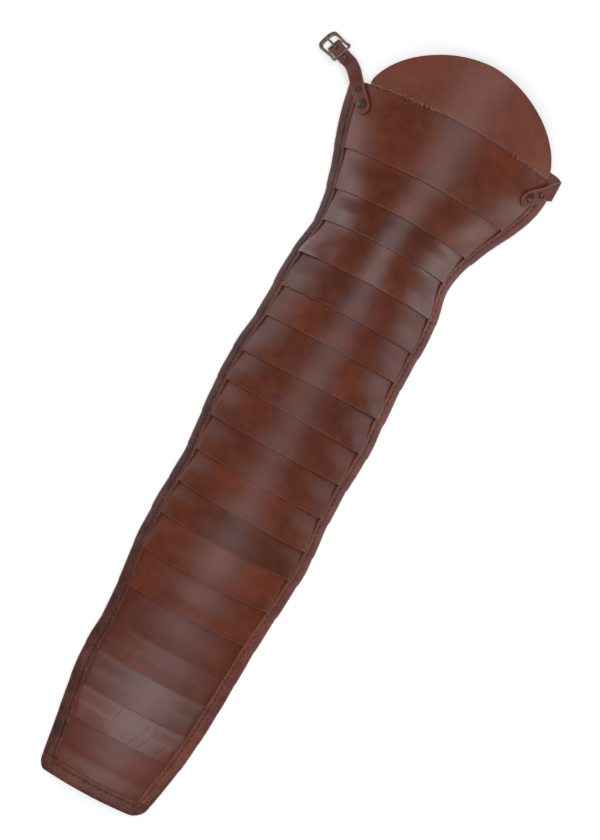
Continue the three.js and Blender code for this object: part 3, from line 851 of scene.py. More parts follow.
def lame_points(index):
    """The outer face of a lame, as rows of columns, and its layout: across, and up from the cut edge."""
    lame = LAMES[index]
    s = np.linspace(-1, 1, LAME_COLUMNS + 1)[None, :]
    t = (np.linspace(0, 1, LAME_ROWS + 1) ** ROW_CROWDING)[:, None]
    first, last = index == 0, index == len(LAMES) - 1
    foot = wrist_edge(s) if last else cut_edge(lame, s)
    head = seam_edge(s) if first else cut_edge(LAMES[index - 1], s) + OVERLAP
    y = foot + t * (head - foot)
    s = np.broadcast_to(s, y.shape)
    up = y - foot
    ramp_end = head - foot if first else head - foot - OVERLAP
    lap = np.zeros_like(y) if last else LAP_STEP * (1 - ease((up - OVERLAP) / (ramp_end - OVERLAP)))
    _, half, rise = arch(y)
    bound = ease(BOUND_REACH - (1 - np.abs(s)) * np.hypot(half, 2 * rise) / BINDING_WIDTH)
    lap = lap * (1 - (1 - PRESSED_LAP) * bound)
    plain = over_arch(y, s, LAME_THICKNESS)
    edge = 1 - s**4
    rounded = BULGE * edge * np.sin(pi * np.clip(up / ramp_end, 0, 1))
    near_foot = 1 - ease(up / LIFT_LENGTH)
    lift = near_foot * (lame.lift_left * corner_lift(-s) + lame.lift_right * corner_lift(s))
    curl = 0.0 if last else CURL * near_foot * edge * (1 + ripple(plain, CURL_LENGTH, 3 + index))
    n = LAME_THICKNESS + lap + rounded + lift + curl + swell(plain)
    if first:
        n = n + seam_lumps(plain, head - y)
    if index == CREASED_LAME:
        n = n - crease_depth(plain)
    if last:
        n = n - WRIST_DIP * np.exp(-(((y - WRIST_DIP_Y) / WRIST_DIP_WIDTH) ** 2)) * edge
    return over_arch(y, s, n), np.stack([s * LAYOUT_HALF, np.maximum(up, 0)], -1)


def build_lame(index, material, sizes):
    lame = LAMES[index]
    name = f"lame_{index + 1:02d}"
    piece = cut_strip(f"{name}_leather", LAME_COLUMNS, LAME_ROWS)
    shape_strip(piece, *lame_points(index))
    thicken(piece, sizes.lame_thickness, sizes.edge_round)
    smooth_faces(piece, LEATHER_SMOOTH)
    give_look(piece, Look(lame.tone, lame.gloss, float(index)))
    finish_piece(piece, LEATHER_BODY, "lame_leather", material, name)


def cap_points():
    """The outer face of the shoulder cap, from the seam to the rim, and its layout."""
    across = CAP_END * np.sin(np.linspace(-pi / 2, pi / 2, LAME_COLUMNS + 1))[None, :]
    t = np.linspace(0, 1, CAP_ROWS + 1)[:, None]
    x = CAP_CENTRE_X + CAP_HALF_WIDTH * across + 0 * t
    depth = CAP_DEPTH * (1 - np.abs(across) ** CAP_POWER) ** (1 / CAP_POWER)
    out = depth * t
    seam = np.full(x.shape, SEAM_Y)
    s = arch_column(x, seam)
    under = over_arch(seam, s, 0.0)
    face = np.stack([x, SEAM_Y + out, under[..., 2] * (1 - CAP_DROOP * out / CAP_DEPTH)], -1)
    roll = CAP_ROLL * np.exp(-out / CAP_ROLL_REACH)
    wave = CAP_WAVE * ripple(face, CAP_WAVE_LENGTH, 5) * ease(out / CAP_WAVE_EASE)
    n = CAP_THICKNESS + swell(face) + wave - roll + seam_lumps(face, out)
    return face + n[..., None] * arch_normal(seam, s), np.stack([x, depth - out], -1)


# Binding

BINDING_ROWS = 290
BINDING_STITCH_INSET = 8.6
GROOVE = 0.45
GROOVE_WIDTH = 0.9
STEP_SLOPE = 2.0
BINDING_TOP_LEFT = 291.0
BINDING_TOP_RIGHT = 281.0
WRIST_ROWS = 96
WRINKLE = 0.22
WRINKLE_LENGTH = 7.0
WRINKLE_STRETCH = np.array([1.0, 0.6, 1.0])
PEBBLE = 0.6
PEBBLE_LENGTH = 2.6
MITRE_SPREAD = 0.6
PRESSED_LAP = 0.4


def binding_profile(top):
    """The binding's outer skin in section, from the front leg's edge round the fold to the back leg's."""
    skin, back = top + BINDING_SKIN, -BINDING_SKIN
    zero = np.zeros_like(top)
    corners = [
        (zero + BINDING_WIDTH, skin),
        (zero + 6.0, skin + 0.12),
        (zero + 1.2, skin),
        (zero - 0.9, skin - 0.8),
        (zero - 1.75, top / 2),
        (zero - 1.55, back / 2),
        (zero - 0.5, back - 0.2),
        (zero + 2.5, back - 0.1),
        (zero + BINDING_WIDTH, zero + back),
    ]
    return np.stack([np.stack(np.broadcast_arrays(*corner), -1) for corner in corners], 0)


PROFILE_STATIONS = [0.0, 6.5, 11.3, 13.6, 16.2, 18.6, 20.2, 23.2, 33.0]
FRONT_COLUMNS = 20
PROFILE_COLUMNS = np.concatenate(
    [np.linspace(0, 11, FRONT_COLUMNS), np.linspace(11.5, 21, 17), np.linspace(22.5, 33, 8)]
)


def binding_skin(top):
    """Inset and height of each column round the binding."""
    profile = smooth_curve(PROFILE_STATIONS, binding_profile(top).reshape(len(PROFILE_STATIONS), -1))
    section = profile(PROFILE_COLUMNS).reshape(len(PROFILE_COLUMNS), len(top), 2)
    inset, n = section[..., 0].T, section[..., 1].T
    front = PROFILE_COLUMNS < PROFILE_STATIONS[2]
    groove = GROOVE * np.exp(-(((inset - BINDING_STITCH_INSET) / GROOVE_WIDTH) ** 2))
    return inset, n - np.where(front, groove, 0.0)


def lame_tops(y, side):
    """The height of the lames inside a side binding, stepped at each cut edge."""
    steps = [(BINDING_TOP_LEFT, LAME_THICKNESS)]
    edges = [lame.left if side < 0 else lame.right for lame in LAMES[:-1]]
    for edge, following in zip(edges, edges[1:] + [None]):
        pressed = PRESSED_LAP * LAP_STEP
        steps.append((edge + OVERLAP, LAME_THICKNESS + pressed))
        steps.append((edge - GAP, LAME_THICKNESS + pressed))
        ramp = edge - following - OVERLAP if following is not None else np.inf
        steps.append((edge - GAP - STEP_SLOPE, LAME_THICKNESS + pressed * (GAP + STEP_SLOPE) / ramp))
    steps.append((WRIST_Y, LAME_THICKNESS))
    places, tops = zip(*reversed(steps))
    return np.interp(y, places, tops)


def wrinkled(points, seed):
    """Small folds and pebbles of the thin binding leather."""
    folds = ripple(points * WRINKLE_STRETCH, WRINKLE_LENGTH, seed)
    return WRINKLE * (folds + PEBBLE * ripple(points, PEBBLE_LENGTH, seed + 1))


def side_binding_points(side, top_end):
    end = WRIST_Y + CORNER_HEIGHT + BINDING_GAP
    y = np.linspace(end, top_end, BINDING_ROWS + 1)
    inset, n = binding_skin(lame_tops(y, side))
    rows = np.broadcast_to(y[:, None], inset.shape)
    s = edge_column(rows, side, inset)
    plain = over_arch(rows, s, n)
    points = over_arch(rows, s, n + wrinkled(plain, 11 + side) + swell(plain))
    points[..., 2] = np.maximum(points[..., 2], TABLE_CLEARANCE)
    layout = np.stack([rows, np.broadcast_to(PROFILE_COLUMNS, rows.shape)], -1)
    if side < 0:
        return points[::-1], layout[::-1]
    return points, layout


def wrist_path():
    """The wrist binding's line on the table, round both corners, with its slant to the mitred inner edge."""
    middle, half, _ = arch(np.array(WRIST_Y + CORNER_HEIGHT))
    left, right = middle - half - BINDING_SKIN, middle + half + BINDING_SKIN
    turn = np.linspace(0, pi / 2, 24)
    y = WRIST_Y + CORNER_HEIGHT * (1 - np.sin(turn))
    start = np.stack([left + CORNER_LEFT * (1 - np.cos(turn)), y], -1)
    end = np.stack([right - CORNER_RIGHT * (1 - np.cos(turn)), y], -1)
    line = np.vstack([start, end[::-1]])
    lengths = lengths_along(line)
    even = np.linspace(0, lengths[-1], WRIST_ROWS + 1)
    path = read_along(even, lengths, line)
    reach = BINDING_WIDTH + BINDING_SKIN
    spread = np.linspace(-MITRE_SPREAD, MITRE_SPREAD, len(path))
    inner = np.stack([np.clip(path[:, 0], left + reach, right - reach) + spread, 0 * even + WRIST_Y + reach], -1)
    return path, (inner - path) / reach, even


def wrist_binding_points():
    path, inward, even = wrist_path()
    inset, n = binding_skin(np.full(len(path), LAME_THICKNESS))
    place = path[:, None, :] + (inset + BINDING_SKIN)[..., None] * inward[:, None, :]
    y = np.maximum(place[..., 1], WRIST_Y)
    s = np.clip(arch_column(place[..., 0], y), -1, 1)
    z = over_arch(y, s, 0.0)[..., 2] + n
    plain = np.concatenate([place, z[..., None]], -1)
    plain[..., 2] = np.maximum(z + wrinkled(plain, 21) + swell(plain), TABLE_CLEARANCE)
    return plain, np.stack([np.broadcast_to(even[:, None], z.shape), 0 * z + PROFILE_COLUMNS], -1)


def build_binding(name, points, layout, look, material, sizes):
    piece = cut_strip(f"{name}_leather", len(PROFILE_COLUMNS) - 1, len(points) - 1)
    shape_strip(piece, points, layout)
    thicken(piece, sizes.binding_thickness, sizes.edge_round)
    smooth_faces(piece, FOLDED_SMOOTH)
    give_look(piece, look)
    finish_piece(piece, LEATHER_BODY, "binding_leather", material, name)


# Straps

UP = np.array([0.0, 0.0, 1.0])
BUCKLE_FORWARD = np.array([-0.94, 0.345, 0.0]) / hypot(0.94, 0.345)
BUCKLE_TILT = radians(26)
BAR_RADIUS = 1.1
BAR_CLEARANCE = 0.35
FOLD_RADIUS = BAR_RADIUS + BAR_CLEARANCE + STRAP_THICKNESS / 2
FOLD_STEPS = 12
FOLD_RIVET_BACK = 12.6
TAIL_LENGTH = 19.5
SLOT_WIDTH = 3.0
SLOT_BACK = -2.9
LONG_FOLD_X = 103.1
LONG_FOLD_Y = 289.0
LONG_FOLD_RADIUS = 3.0
LONG_FOLD_HALF = 9.5
LONG_FOLD_ADVANCE = 1.5
LONG_FOLD_START = radians(60)
LONG_FOLD_SWEEP = radians(150)
STRAP_COLUMNS = 24
STRAP_ROWS = 150
STRAP_REST = STRAP_THICKNESS / 2 + TABLE_CLEARANCE
STRAP_WAVE = 0.1
STRAP_WAVE_LENGTH = 9.0
END_ROUND = 6.0
END_ROWS = 10
END_BLUNT = 0.985
RIM_LINE = 1.7
RIM_LINE_DEPTH = 0.22
RIM_LINE_WIDTH = 0.45

# Strap routes: places on the shoulder as x and y, and the free places of the short strap with their faces
BUCKLE_STRAP_ROOT = [(-78.3, 265.6), (-83.2, 273.2), (-92.3, 283.6)]
Drop = namedtuple("Drop", "place face")
BUCKLE_STRAP_DROP = [
    Drop((-98.6, 291.4, 11.2), (-0.5, 0.1, 0.86)),
    Drop((-104.6, 298.2, 10.0), (-0.25, 0.05, 0.97)),
]
DROP_END_BACK = 20.0
DROP_END_HEIGHT = 2.0
FOLD_RIVET_MARGIN = 3.0
FOLD_START_BACK = 6.5
LONG_STRAP_ROOT = [(83.2, 261.4), (87.5, 269.8), (97.7, 280.6)]
LONG_STRAP_HIDDEN = [(90.0, 297.0), (76.0, 303.0), (36.0, 310.0), (-28.0, 312.0), (-34.0, 312.0)]

Station = namedtuple("Station", "place across face")


def square_stations(run):
    """Stations square across a run of places with their faces."""
    places = np.array([place for place, _ in run])
    stations = []
    for k, (place, face) in enumerate(run):
        along = places[min(k + 1, len(run) - 1)] - places[max(k - 1, 0)]
        stations.append(Station(place, unit(np.cross(face, along)) * STRAP_WIDTH / 2, face))
    return stations


def on_shoulder(x, y):
    """A place on the outer face of the shoulder, over the binding."""
    s = arch_column(np.array(x), np.array(y), ROOT_HEIGHT)
    return over_arch(y, s, ROOT_HEIGHT), arch_normal(y, s)


def beside_bar(back, height):
    return np.array(BAR_ON_TABLE) - BUCKLE_FORWARD * back + UP * height


def buckle_strap_route():
    """From the rounded root, out over the edge, round the buckle's bar and back under itself."""
    pair = (STRAP_THICKNESS + GAP) / 2
    run = [on_shoulder(x, y) for x, y in BUCKLE_STRAP_ROOT]
    run += [(np.array(drop.place), unit(drop.face)) for drop in BUCKLE_STRAP_DROP]
    run += [
        (beside_bar(DROP_END_BACK, DROP_END_HEIGHT), UP),
        (beside_bar(FOLD_RIVET_BACK + FOLD_RIVET_MARGIN, pair), UP),
        (beside_bar(FOLD_START_BACK, pair), UP),
    ]
    for k in range(FOLD_STEPS + 1):
        turn = pi / 2 - pi * k / FOLD_STEPS
        face = BUCKLE_FORWARD * cos(turn) + UP * sin(turn)
        run.append((np.array(BAR_ON_TABLE) + face * FOLD_RADIUS, face))
    run += [(beside_bar(back, -pair), -UP) for back in (FOLD_START_BACK, FOLD_RIVET_BACK, TAIL_LENGTH)]
    return square_stations(run)


def long_strap_route():
    """From the rounded root, over the edge in a slanting fold, and back under the cap along the table."""
    root = square_stations([on_shoulder(x, y) for x, y in LONG_STRAP_ROOT])
    fold_height = LONG_FOLD_RADIUS + STRAP_REST
    fold = []
    for k in range(FOLD_STEPS + 1):
        turn = LONG_FOLD_START - LONG_FOLD_SWEEP * k / FOLD_STEPS
        face = np.array([cos(turn), 0.0, sin(turn)])
        middle = np.array([LONG_FOLD_X, LONG_FOLD_Y - LONG_FOLD_ADVANCE * turn, fold_height])
        fold.append(Station(middle + face * LONG_FOLD_RADIUS, np.array([0.0, LONG_FOLD_HALF, 0.0]), face))
    return root + fold + square_stations([(np.array([x, y, STRAP_REST]), -UP) for x, y in LONG_STRAP_HIDDEN])


def strap_points(route):
    """The outer face of a strap along its route, with rounded ends and a pressed line along its edges."""
    lengths = lengths_along(np.array([station.place for station in route]))
    ribbon = smooth_curve(lengths, np.array([np.concatenate(station) for station in route]))
    even = np.linspace(0, 1, STRAP_ROWS + 1)
    ends = END_ROUND * np.sin(np.linspace(0, pi / 2, END_ROWS)) ** 2
    middle = END_ROUND + (lengths[-1] - 2 * END_ROUND) * even[1:-1]
    where = np.concatenate([ends, middle, lengths[-1] - ends[::-1]])
    from_end = np.minimum(where, lengths[-1] - where)
    taper = np.sqrt(1 - np.clip(1 - from_end / END_ROUND, 0, END_BLUNT) ** 2)
    sampled = ribbon(where)
    place, across, face = (sampled[:, 3 * k : 3 * k + 3] for k in range(3))
    face = face / np.linalg.norm(face, axis=1)[:, None]
    column = np.linspace(1, -1, STRAP_COLUMNS + 1)
    half = np.linalg.norm(across, axis=1) * taper
    from_edge = (1 - np.abs(column))[None, :] * half[:, None]
    from_edge = np.minimum(from_edge, from_end[:, None])
    line = RIM_LINE_DEPTH * np.exp(-(((from_edge - RIM_LINE) / RIM_LINE_WIDTH) ** 2))
    points = place[:, None, :] + (column[None, :] * taper[:, None])[..., None] * across[:, None, :]
    height = STRAP_THICKNESS / 2 - line + STRAP_WAVE * ripple(points, STRAP_WAVE_LENGTH, 31)
    points = points + height[..., None] * face[:, None, :]
    return points, np.stack([np.broadcast_to(where[:, None], from_edge.shape), from_edge], -1)


def buckle_matrix(tilt=0.0):
    """The buckle's own frame on the table: X along its bar, Y forward, tipped about the bar."""
    bar = Vector(np.cross(BUCKLE_FORWARD, UP))
    basis = Matrix((bar, Vector(BUCKLE_FORWARD), Vector(UP))).transposed().to_4x4()
    return Matrix.Translation(BAR_IN_FRAME) @ basis @ Matrix.Rotation(tilt, 4, "X")


def cut_slot(piece):
    """Cuts the slot for the prong where the strap folds round the bar."""
    to_bar = buckle_matrix().inverted()
    select_only(piece)
    bpy.ops.object.mode_set(mode="EDIT")
    bpy.ops.mesh.select_mode(type="FACE")
    bpy.ops.mesh.select_all(action="DESELECT")
    bpy.ops.object.mode_set(mode="OBJECT")
    for face in piece.data.polygons:
        centre = (to_bar @ face.center) / MM
        face.select = abs(centre.x) < SLOT_WIDTH / 2 and centre.y > SLOT_BACK
    bpy.ops.object.mode_set(mode="EDIT")
    bpy.ops.mesh.delete(type="FACE")
    bpy.ops.object.mode_set(mode="OBJECT")


def build_strap(name, route, slotted, look, material, sizes):
    points, layout = strap_points(route)
    piece = cut_strip(f"{name}_leather", STRAP_COLUMNS, len(points) - 1)
    shape_strip(piece, points, layout)
    if slotted:
        cut_slot(piece)
    thicken(piece, sizes.strap_thickness, sizes.edge_round)
    smooth_faces(piece, STRAP_SMOOTH)
    give_look(piece, look)
    finish_piece(piece, LEATHER_BODY, "strap_leather", material, name)


# Rivets

RIVET_SIDES = 40
RIVET_SHANK = 1.4
RIVET_HEIGHT = 1.0
RIVET_BACK_SHARE = 0.75
RIVET_BEVEL = 0.12
RIVET_BEVEL_ANGLE = 40
INNER_UNDER = -BINDING_SKIN - GAP
OUTER_UNDER = INNER_UNDER - BINDING_THICKNESS
RIVET_SEAT = 2 * GAP

# Rings of a rivet's head, as shares of its radius and height over the leather: a flat cap and an eyed one
FLAT_HEAD = [(1.0, 0.0), (1.0, 0.35), (0.93, 0.66), (0.8, 0.82), (0.5, 0.95), (0.18, 1.0)]
EYED_HEAD = [(1.0, 0.0), (1.0, 0.4), (0.9, 0.8), (0.74, 0.95), (0.56, 0.8), (0.46, 0.3), (0.2, 0.22)]

# Each rivet: its place, radius, the height that it starts under the arch, and its head
Rivet = namedtuple("Rivet", "x y radius under head")
ROOT_RIVETS = [
    Rivet(-83.2, 273.2, 4.2, INNER_UNDER, FLAT_HEAD),
    Rivet(-92.3, 283.6, 3.0, OUTER_UNDER, EYED_HEAD),
    Rivet(87.5, 269.8, 4.2, INNER_UNDER, FLAT_HEAD),
    Rivet(95.2, 277.6, 3.0, OUTER_UNDER, EYED_HEAD),
]
FOLD_RIVET_RADIUS = 2.4


def build_rivet(number, radius, grip, head, place, face, material):
    """One rivet, drawn up ring by ring from its back cap to its head."""
    name = f"strap_rivet_{number}"
    back = RIVET_BACK_SHARE * radius
    rings = [(back, -RIVET_HEIGHT), (back, 0.0), (RIVET_SHANK, 0.0), (RIVET_SHANK, grip)]
    rings += [(radius * share, grip + RIVET_HEIGHT * height) for share, height in head]
    piece = draw_up(f"{name}_metal", RIVET_SIDES, rings)
    bevel(piece, RIVET_BEVEL * MM, RIVET_BEVEL_ANGLE)
    smooth_faces(piece, METAL_SMOOTH)
    turn = Vector(UP).rotation_difference(Vector(face)).to_matrix().to_4x4()
    place_piece(piece, Matrix.Translation(Vector(to_frame(place))) @ turn)
    finish_piece(piece, LEATHER_BODY, "rivet_metal", material, name)


def draw_up(name, sides, rings):
    """A round piece from a disc, extruded and scaled ring by ring. Rings are radius and height in millimetres."""
    deselect()
    radius, height = rings[0]
    bpy.ops.mesh.primitive_circle_add(
        vertices=sides, radius=radius * MM, fill_type="NGON", location=(0, 0, height * MM)
    )
    piece = name_piece(name)
    settle()
    edit_all()
    for next_radius, next_height in rings[1:]:
        bpy.ops.mesh.extrude_region_move(
            TRANSFORM_OT_translate={"value": (0, 0, (next_height - height) * MM)}
        )
        share = next_radius / radius
        bpy.ops.transform.resize(value=(share, share, 1), center_override=(0, 0, 0))
        radius, height = next_radius, next_height
    bpy.ops.object.mode_set(mode="OBJECT")
    face_outwards(piece)
    return piece


# Buckle

FRAME_RINGS = 120
FRAME_SIDES = 20
FRAME_SQUARENESS = 0.8
FRAME_HAMMERING = 0.06
FRAME_HAMMERING_LENGTH = 3.0
BAR_SIDES = 24
BAR_HALF_LENGTH = 8.4

# The buckle frame's middle line, from the front round one side to the rear, with the bar's width and thickness
Bend = namedtuple("Bend", "x y width thickness")
FRAME_BENDS = [
    Bend(0.0, 13.0, 4.5, 2.5),
    Bend(-4.6, 12.8, 4.6, 2.5),
    Bend(-7.8, 11.4, 4.3, 2.5),
    Bend(-9.0, 8.0, 3.0, 2.4),
    Bend(-9.0, 4.0, 2.6, 2.2),
    Bend(-8.8, -0.5, 2.5, 2.2),
    Bend(-8.8, -5.6, 2.4, 2.1),
    Bend(-9.3, -8.7, 2.7, 2.3),
    Bend(-8.8, -9.9, 2.6, 2.2),
    Bend(-6.5, -10.1, 2.0, 1.8),
    Bend(0.0, -10.0, 1.8, 1.7),
]
PRONG_RING_RADIUS = 1.95
PRONG_RING_STEPS = 40
PRONG_RING_SIDES = 14
PRONG_ARM_SIDES = 18
PRONG_HALF_WIDTH = 1.15
PRONG_HALF_THICKNESS = 0.62

# The prong's arm, from the ring to the tip: forward and up from the bar, and its share of full width
Bow = namedtuple("Bow", "forward up share")
PRONG_ARM = [
    Bow(0.2, 1.85, 1.0),
    Bow(2.2, 2.15, 1.0),
    Bow(4.5, 2.3, 0.95),
    Bow(7.0, 2.38, 0.9),
    Bow(9.5, 2.38, 0.86),
    Bow(11.5, 2.3, 0.82),
    Bow(13.0, 2.18, 0.8),
    Bow(13.9, 2.06, 0.72),
    Bow(14.3, 1.98, 0.4),
]


def frame_loop():
    """Rings round the whole frame: middle line, outward direction, width and thickness."""
    mirrored = [bend._replace(x=-bend.x) for bend in reversed(FRAME_BENDS[1:-1])]
    bends = np.array(FRAME_BENDS + mirrored)
    around = np.vstack([bends[-2:], bends, bends[:3]])
    lengths = lengths_along(around[:, :2])
    loop = smooth_curve(lengths, around)
    start, end = lengths[2], lengths[2 + len(bends)]
    rings = loop(np.linspace(start, end, FRAME_RINGS, endpoint=False))
    along = np.roll(rings[:, :2], -1, axis=0) - np.roll(rings[:, :2], 1, axis=0)
    along /= np.linalg.norm(along, axis=1)[:, None]
    return rings, np.stack([along[:, 1], -along[:, 0]], -1)


def build_frame(material):
    """The frame is a ring of wire, worked to a thick front, waisted sides and a thin rear, with a centre bar."""
    deselect()
    bpy.ops.mesh.primitive_torus_add(major_segments=FRAME_RINGS, minor_segments=FRAME_SIDES)
    loop = name_piece("buckle_loop")
    rings, outward = frame_loop()
    turn = np.linspace(0, 2 * pi, FRAME_SIDES, endpoint=False)
    wide, tall = (np.sign(wave) * np.abs(wave) ** FRAME_SQUARENESS for wave in (np.cos(turn), np.sin(turn)))
    flat = rings[:, None, :2] + (rings[:, 2, None] / 2 * wide)[..., None] * outward[:, None, :]
    points = np.concatenate([flat, (rings[:, 3, None] / 2 * tall)[..., None]], -1)
    points[..., 2] += FRAME_HAMMERING * ripple(points, FRAME_HAMMERING_LENGTH, 41)
    loop.data.vertices.foreach_set("co", (points * MM).ravel())
    face_outwards(loop)
    bar = draw_up("buckle_bar", BAR_SIDES, [(BAR_RADIUS, -BAR_HALF_LENGTH), (BAR_RADIUS, BAR_HALF_LENGTH)])
    place_piece(bar, Matrix.Rotation(pi / 2, 4, "Y"))
    piece = join_pieces("buckle_frame_metal", [loop, bar])
    smooth_faces(piece, METAL_SMOOTH)
    place_piece(piece, buckle_matrix(-BUCKLE_TILT))
    finish_piece(piece, FRAME_BODY, "buckle_metal", material, "buckle_frame")


def start_prong_part(name):
    """Names the part just added and widens it, and leaves all of it selected in edit mode."""
    part = name_piece(name)
    settle()
    edit_all()
    bpy.ops.transform.resize(value=(PRONG_HALF_WIDTH / PRONG_HALF_THICKNESS, 1, 1), center_override=(0, 0, 0))
    return part


def build_prong(material):
    """The prong is a ring round the bar with a flat arm that lies on the frame's front."""
    deselect()
    bpy.ops.mesh.primitive_torus_add(
        major_segments=PRONG_RING_STEPS,
        minor_segments=PRONG_RING_SIDES,
        major_radius=PRONG_RING_RADIUS * MM,
        minor_radius=PRONG_HALF_THICKNESS * MM,
        rotation=(0, pi / 2, 0),
    )
    ring = start_prong_part("prong_ring")
    deselect()
    root = PRONG_ARM[0]
    bpy.ops.mesh.primitive_circle_add(
        vertices=PRONG_ARM_SIDES,
        radius=PRONG_HALF_THICKNESS * MM,
        fill_type="NGON",
        rotation=(-pi / 2, 0, 0),
    )
    arm = start_prong_part("prong_arm")
    bpy.ops.transform.translate(value=(0, root.forward * MM, root.up * MM))
    for before, bow in zip(PRONG_ARM, PRONG_ARM[1:]):
        step = (0, (bow.forward - before.forward) * MM, (bow.up - before.up) * MM)
        bpy.ops.mesh.extrude_region_move(TRANSFORM_OT_translate={"value": step})
        share = bow.share / before.share
        bpy.ops.transform.resize(
            value=(share, 1, share), center_override=(0, bow.forward * MM, bow.up * MM)
        )
    deselect()
    face_outwards(arm)
    piece = join_pieces("buckle_prong_metal", [ring, arm])
    smooth_faces(piece, METAL_SMOOTH)
    place_piece(piece, buckle_matrix(-BUCKLE_TILT))
    finish_piece(piece, PRONG_BODY, "buckle_metal", material, "buckle_prong")


# Stitches

THREAD_SIDES = 8
THREAD_BEVEL = 0.3
THREAD_BEVEL_ANGLE = 60
STITCH_LIFT = 0.12
STITCH_SHARE = 0.62
SEAM_PITCH = 2.3
SEAM_STITCH = 2.9
SEAM_THREAD = 1.5
SEAM_STITCH_LIFT = 0.4

# How unevenly the seam is sewn: along it, across it, up and down, and the slant of each stitch with its spread
SEAM_UNEVEN_ALONG = 1.6
SEAM_UNEVEN_ACROSS = 1.1
SEAM_UNEVEN_LIFT = 0.4
SEAM_SLANT = 0.35
SEAM_SLANT_SPREAD = 2.6


def thread_bit(width, length):
    """One stitch at the origin, along X: a short thread with rounded ends."""
    deselect()
    bpy.ops.mesh.primitive_cylinder_add(
        vertices=THREAD_SIDES, radius=width / 2, depth=length * MM, rotation=(0, pi / 2, 0)
    )
    stitch = name_piece("thread_bit")
    settle()
    bevel(stitch, width * THREAD_BEVEL, THREAD_BEVEL_ANGLE)
    return stitch


def sew(name, stitch, places, material):
    """Copies one stitch to each place, joins the copies and ties them to the leather."""
    copies = []
    for matrix in places:
        copy = stitch.copy()
        copy.data = stitch.data.copy()
        copy.data.transform(matrix)
        bpy.context.collection.objects.link(copy)
        copies.append(copy)
    bpy.data.objects.remove(stitch)
    piece = join_pieces(name, copies)
    smooth_faces(piece, THREAD_SMOOTH)
    finish_piece(piece, LEATHER_BODY, None, material)


def stitch_place(point, along, face):
    """A stitch's matrix: at a point on the table, along a direction on a face."""
    along, face = unit(along), unit(face)
    side = np.cross(face, along)
    turn = Matrix((Vector(along), Vector(side), Vector(np.cross(along, side)))).transposed().to_4x4()
    return Matrix.Translation(Vector(to_frame(point))) @ turn


def binding_stitches(points, pitch):
    """Stitches along the groove of a binding's front leg."""
    inset, _ = binding_skin(np.array([LAME_THICKNESS]))
    column = int(np.argmin(np.abs(inset[0, :FRONT_COLUMNS] - BINDING_STITCH_INSET)))
    line = points[:, column]
    faces = np.cross(points[:, column + 1] - line, np.gradient(line, axis=0))
    lengths = lengths_along(line)
    even = np.arange(pitch, lengths[-1] - pitch, pitch)
    spots, outward = read_along(even, lengths, line), read_along(even, lengths, faces)
    along = np.gradient(spots, axis=0)
    return [
        stitch_place(spot + unit(face) * STITCH_LIFT, run, face)
        for spot, run, face in zip(spots, along, outward)
    ]


def seam_stitches():
    """Uneven stitches over the shoulder seam, close where it is coarsely sewn."""
    _, half, rise = arch(np.array(SEAM_Y))
    places = []
    for stretch in COARSE_SEAM:
        x = np.arange(stretch.start, stretch.end, SEAM_PITCH)
        jitter = ripple(np.stack([x, 0 * x, 0 * x], -1) * 3.1, 1.7, 51)
        shear = ripple(np.stack([x, 0 * x + 40, 0 * x], -1) * 2.3, 1.9, 57)
        for at, shift, slant in zip(x + SEAM_UNEVEN_ALONG * jitter, jitter, shear):
            s = arch_column(np.array(at), np.array(SEAM_Y), 0.0)
            height = LAME_THICKNESS + SEAM_STITCH_LIFT + SEAM_UNEVEN_LIFT * shift
            point = over_arch(SEAM_Y, s, height) + np.array([0, SEAM_UNEVEN_ACROSS * shift, 0])
            across = unit(np.array([1.0, 0.0, -2 * rise * s / half]))
            along = across * (SEAM_SLANT + SEAM_SLANT_SPREAD * slant) + np.array([0, 1.0, 0])
            places.append(stitch_place(point, along, arch_normal(SEAM_Y, s)))
    return places


# Operators


class MANICA_OT_lames(bpy.types.Operator):
    """Shapes the lames over the arch, each lapping over the next."""

    bl_idname = "manica.lames"
    bl_label = "Lames"

    def execute(self, context):
        scene = context.scene
        material = leather("burnished_lame_leather", scene.manica_colours.lame, LAME_HIDE, LAME_MARKS)
        for index in range(len(LAMES)):
            build_lame(index, material, scene.manica_sizes)
        return {"FINISHED"}


class MANICA_OT_cap(bpy.types.Operator):
    """Shapes the shoulder cap and sews it to the first lame."""

    bl_idname = "manica.cap"
    bl_label = "Shoulder cap"

    def execute(self, context):
        scene = context.scene
        sizes, colours = scene.manica_sizes, scene.manica_colours
        piece = cut_strip("shoulder_cap_leather", LAME_COLUMNS, CAP_ROWS)
        shape_strip(piece, *cap_points())
        thicken(piece, sizes.cap_thickness, sizes.edge_round)
        smooth_faces(piece, LEATHER_SMOOTH)
        give_look(piece, CAP_LOOK)
        material = leather("cap_leather", colours.cap, CAP_HIDE)
        finish_piece(piece, LEATHER_BODY, "cap_leather", material, "shoulder_cap")
        thread = waxed_thread("seam_thread", colours.seam_thread)
        stitch = thread_bit(SEAM_THREAD * sizes.thread_width, SEAM_STITCH)
        sew("shoulder_seam_thread", stitch, seam_stitches(), thread)
        return {"FINISHED"}


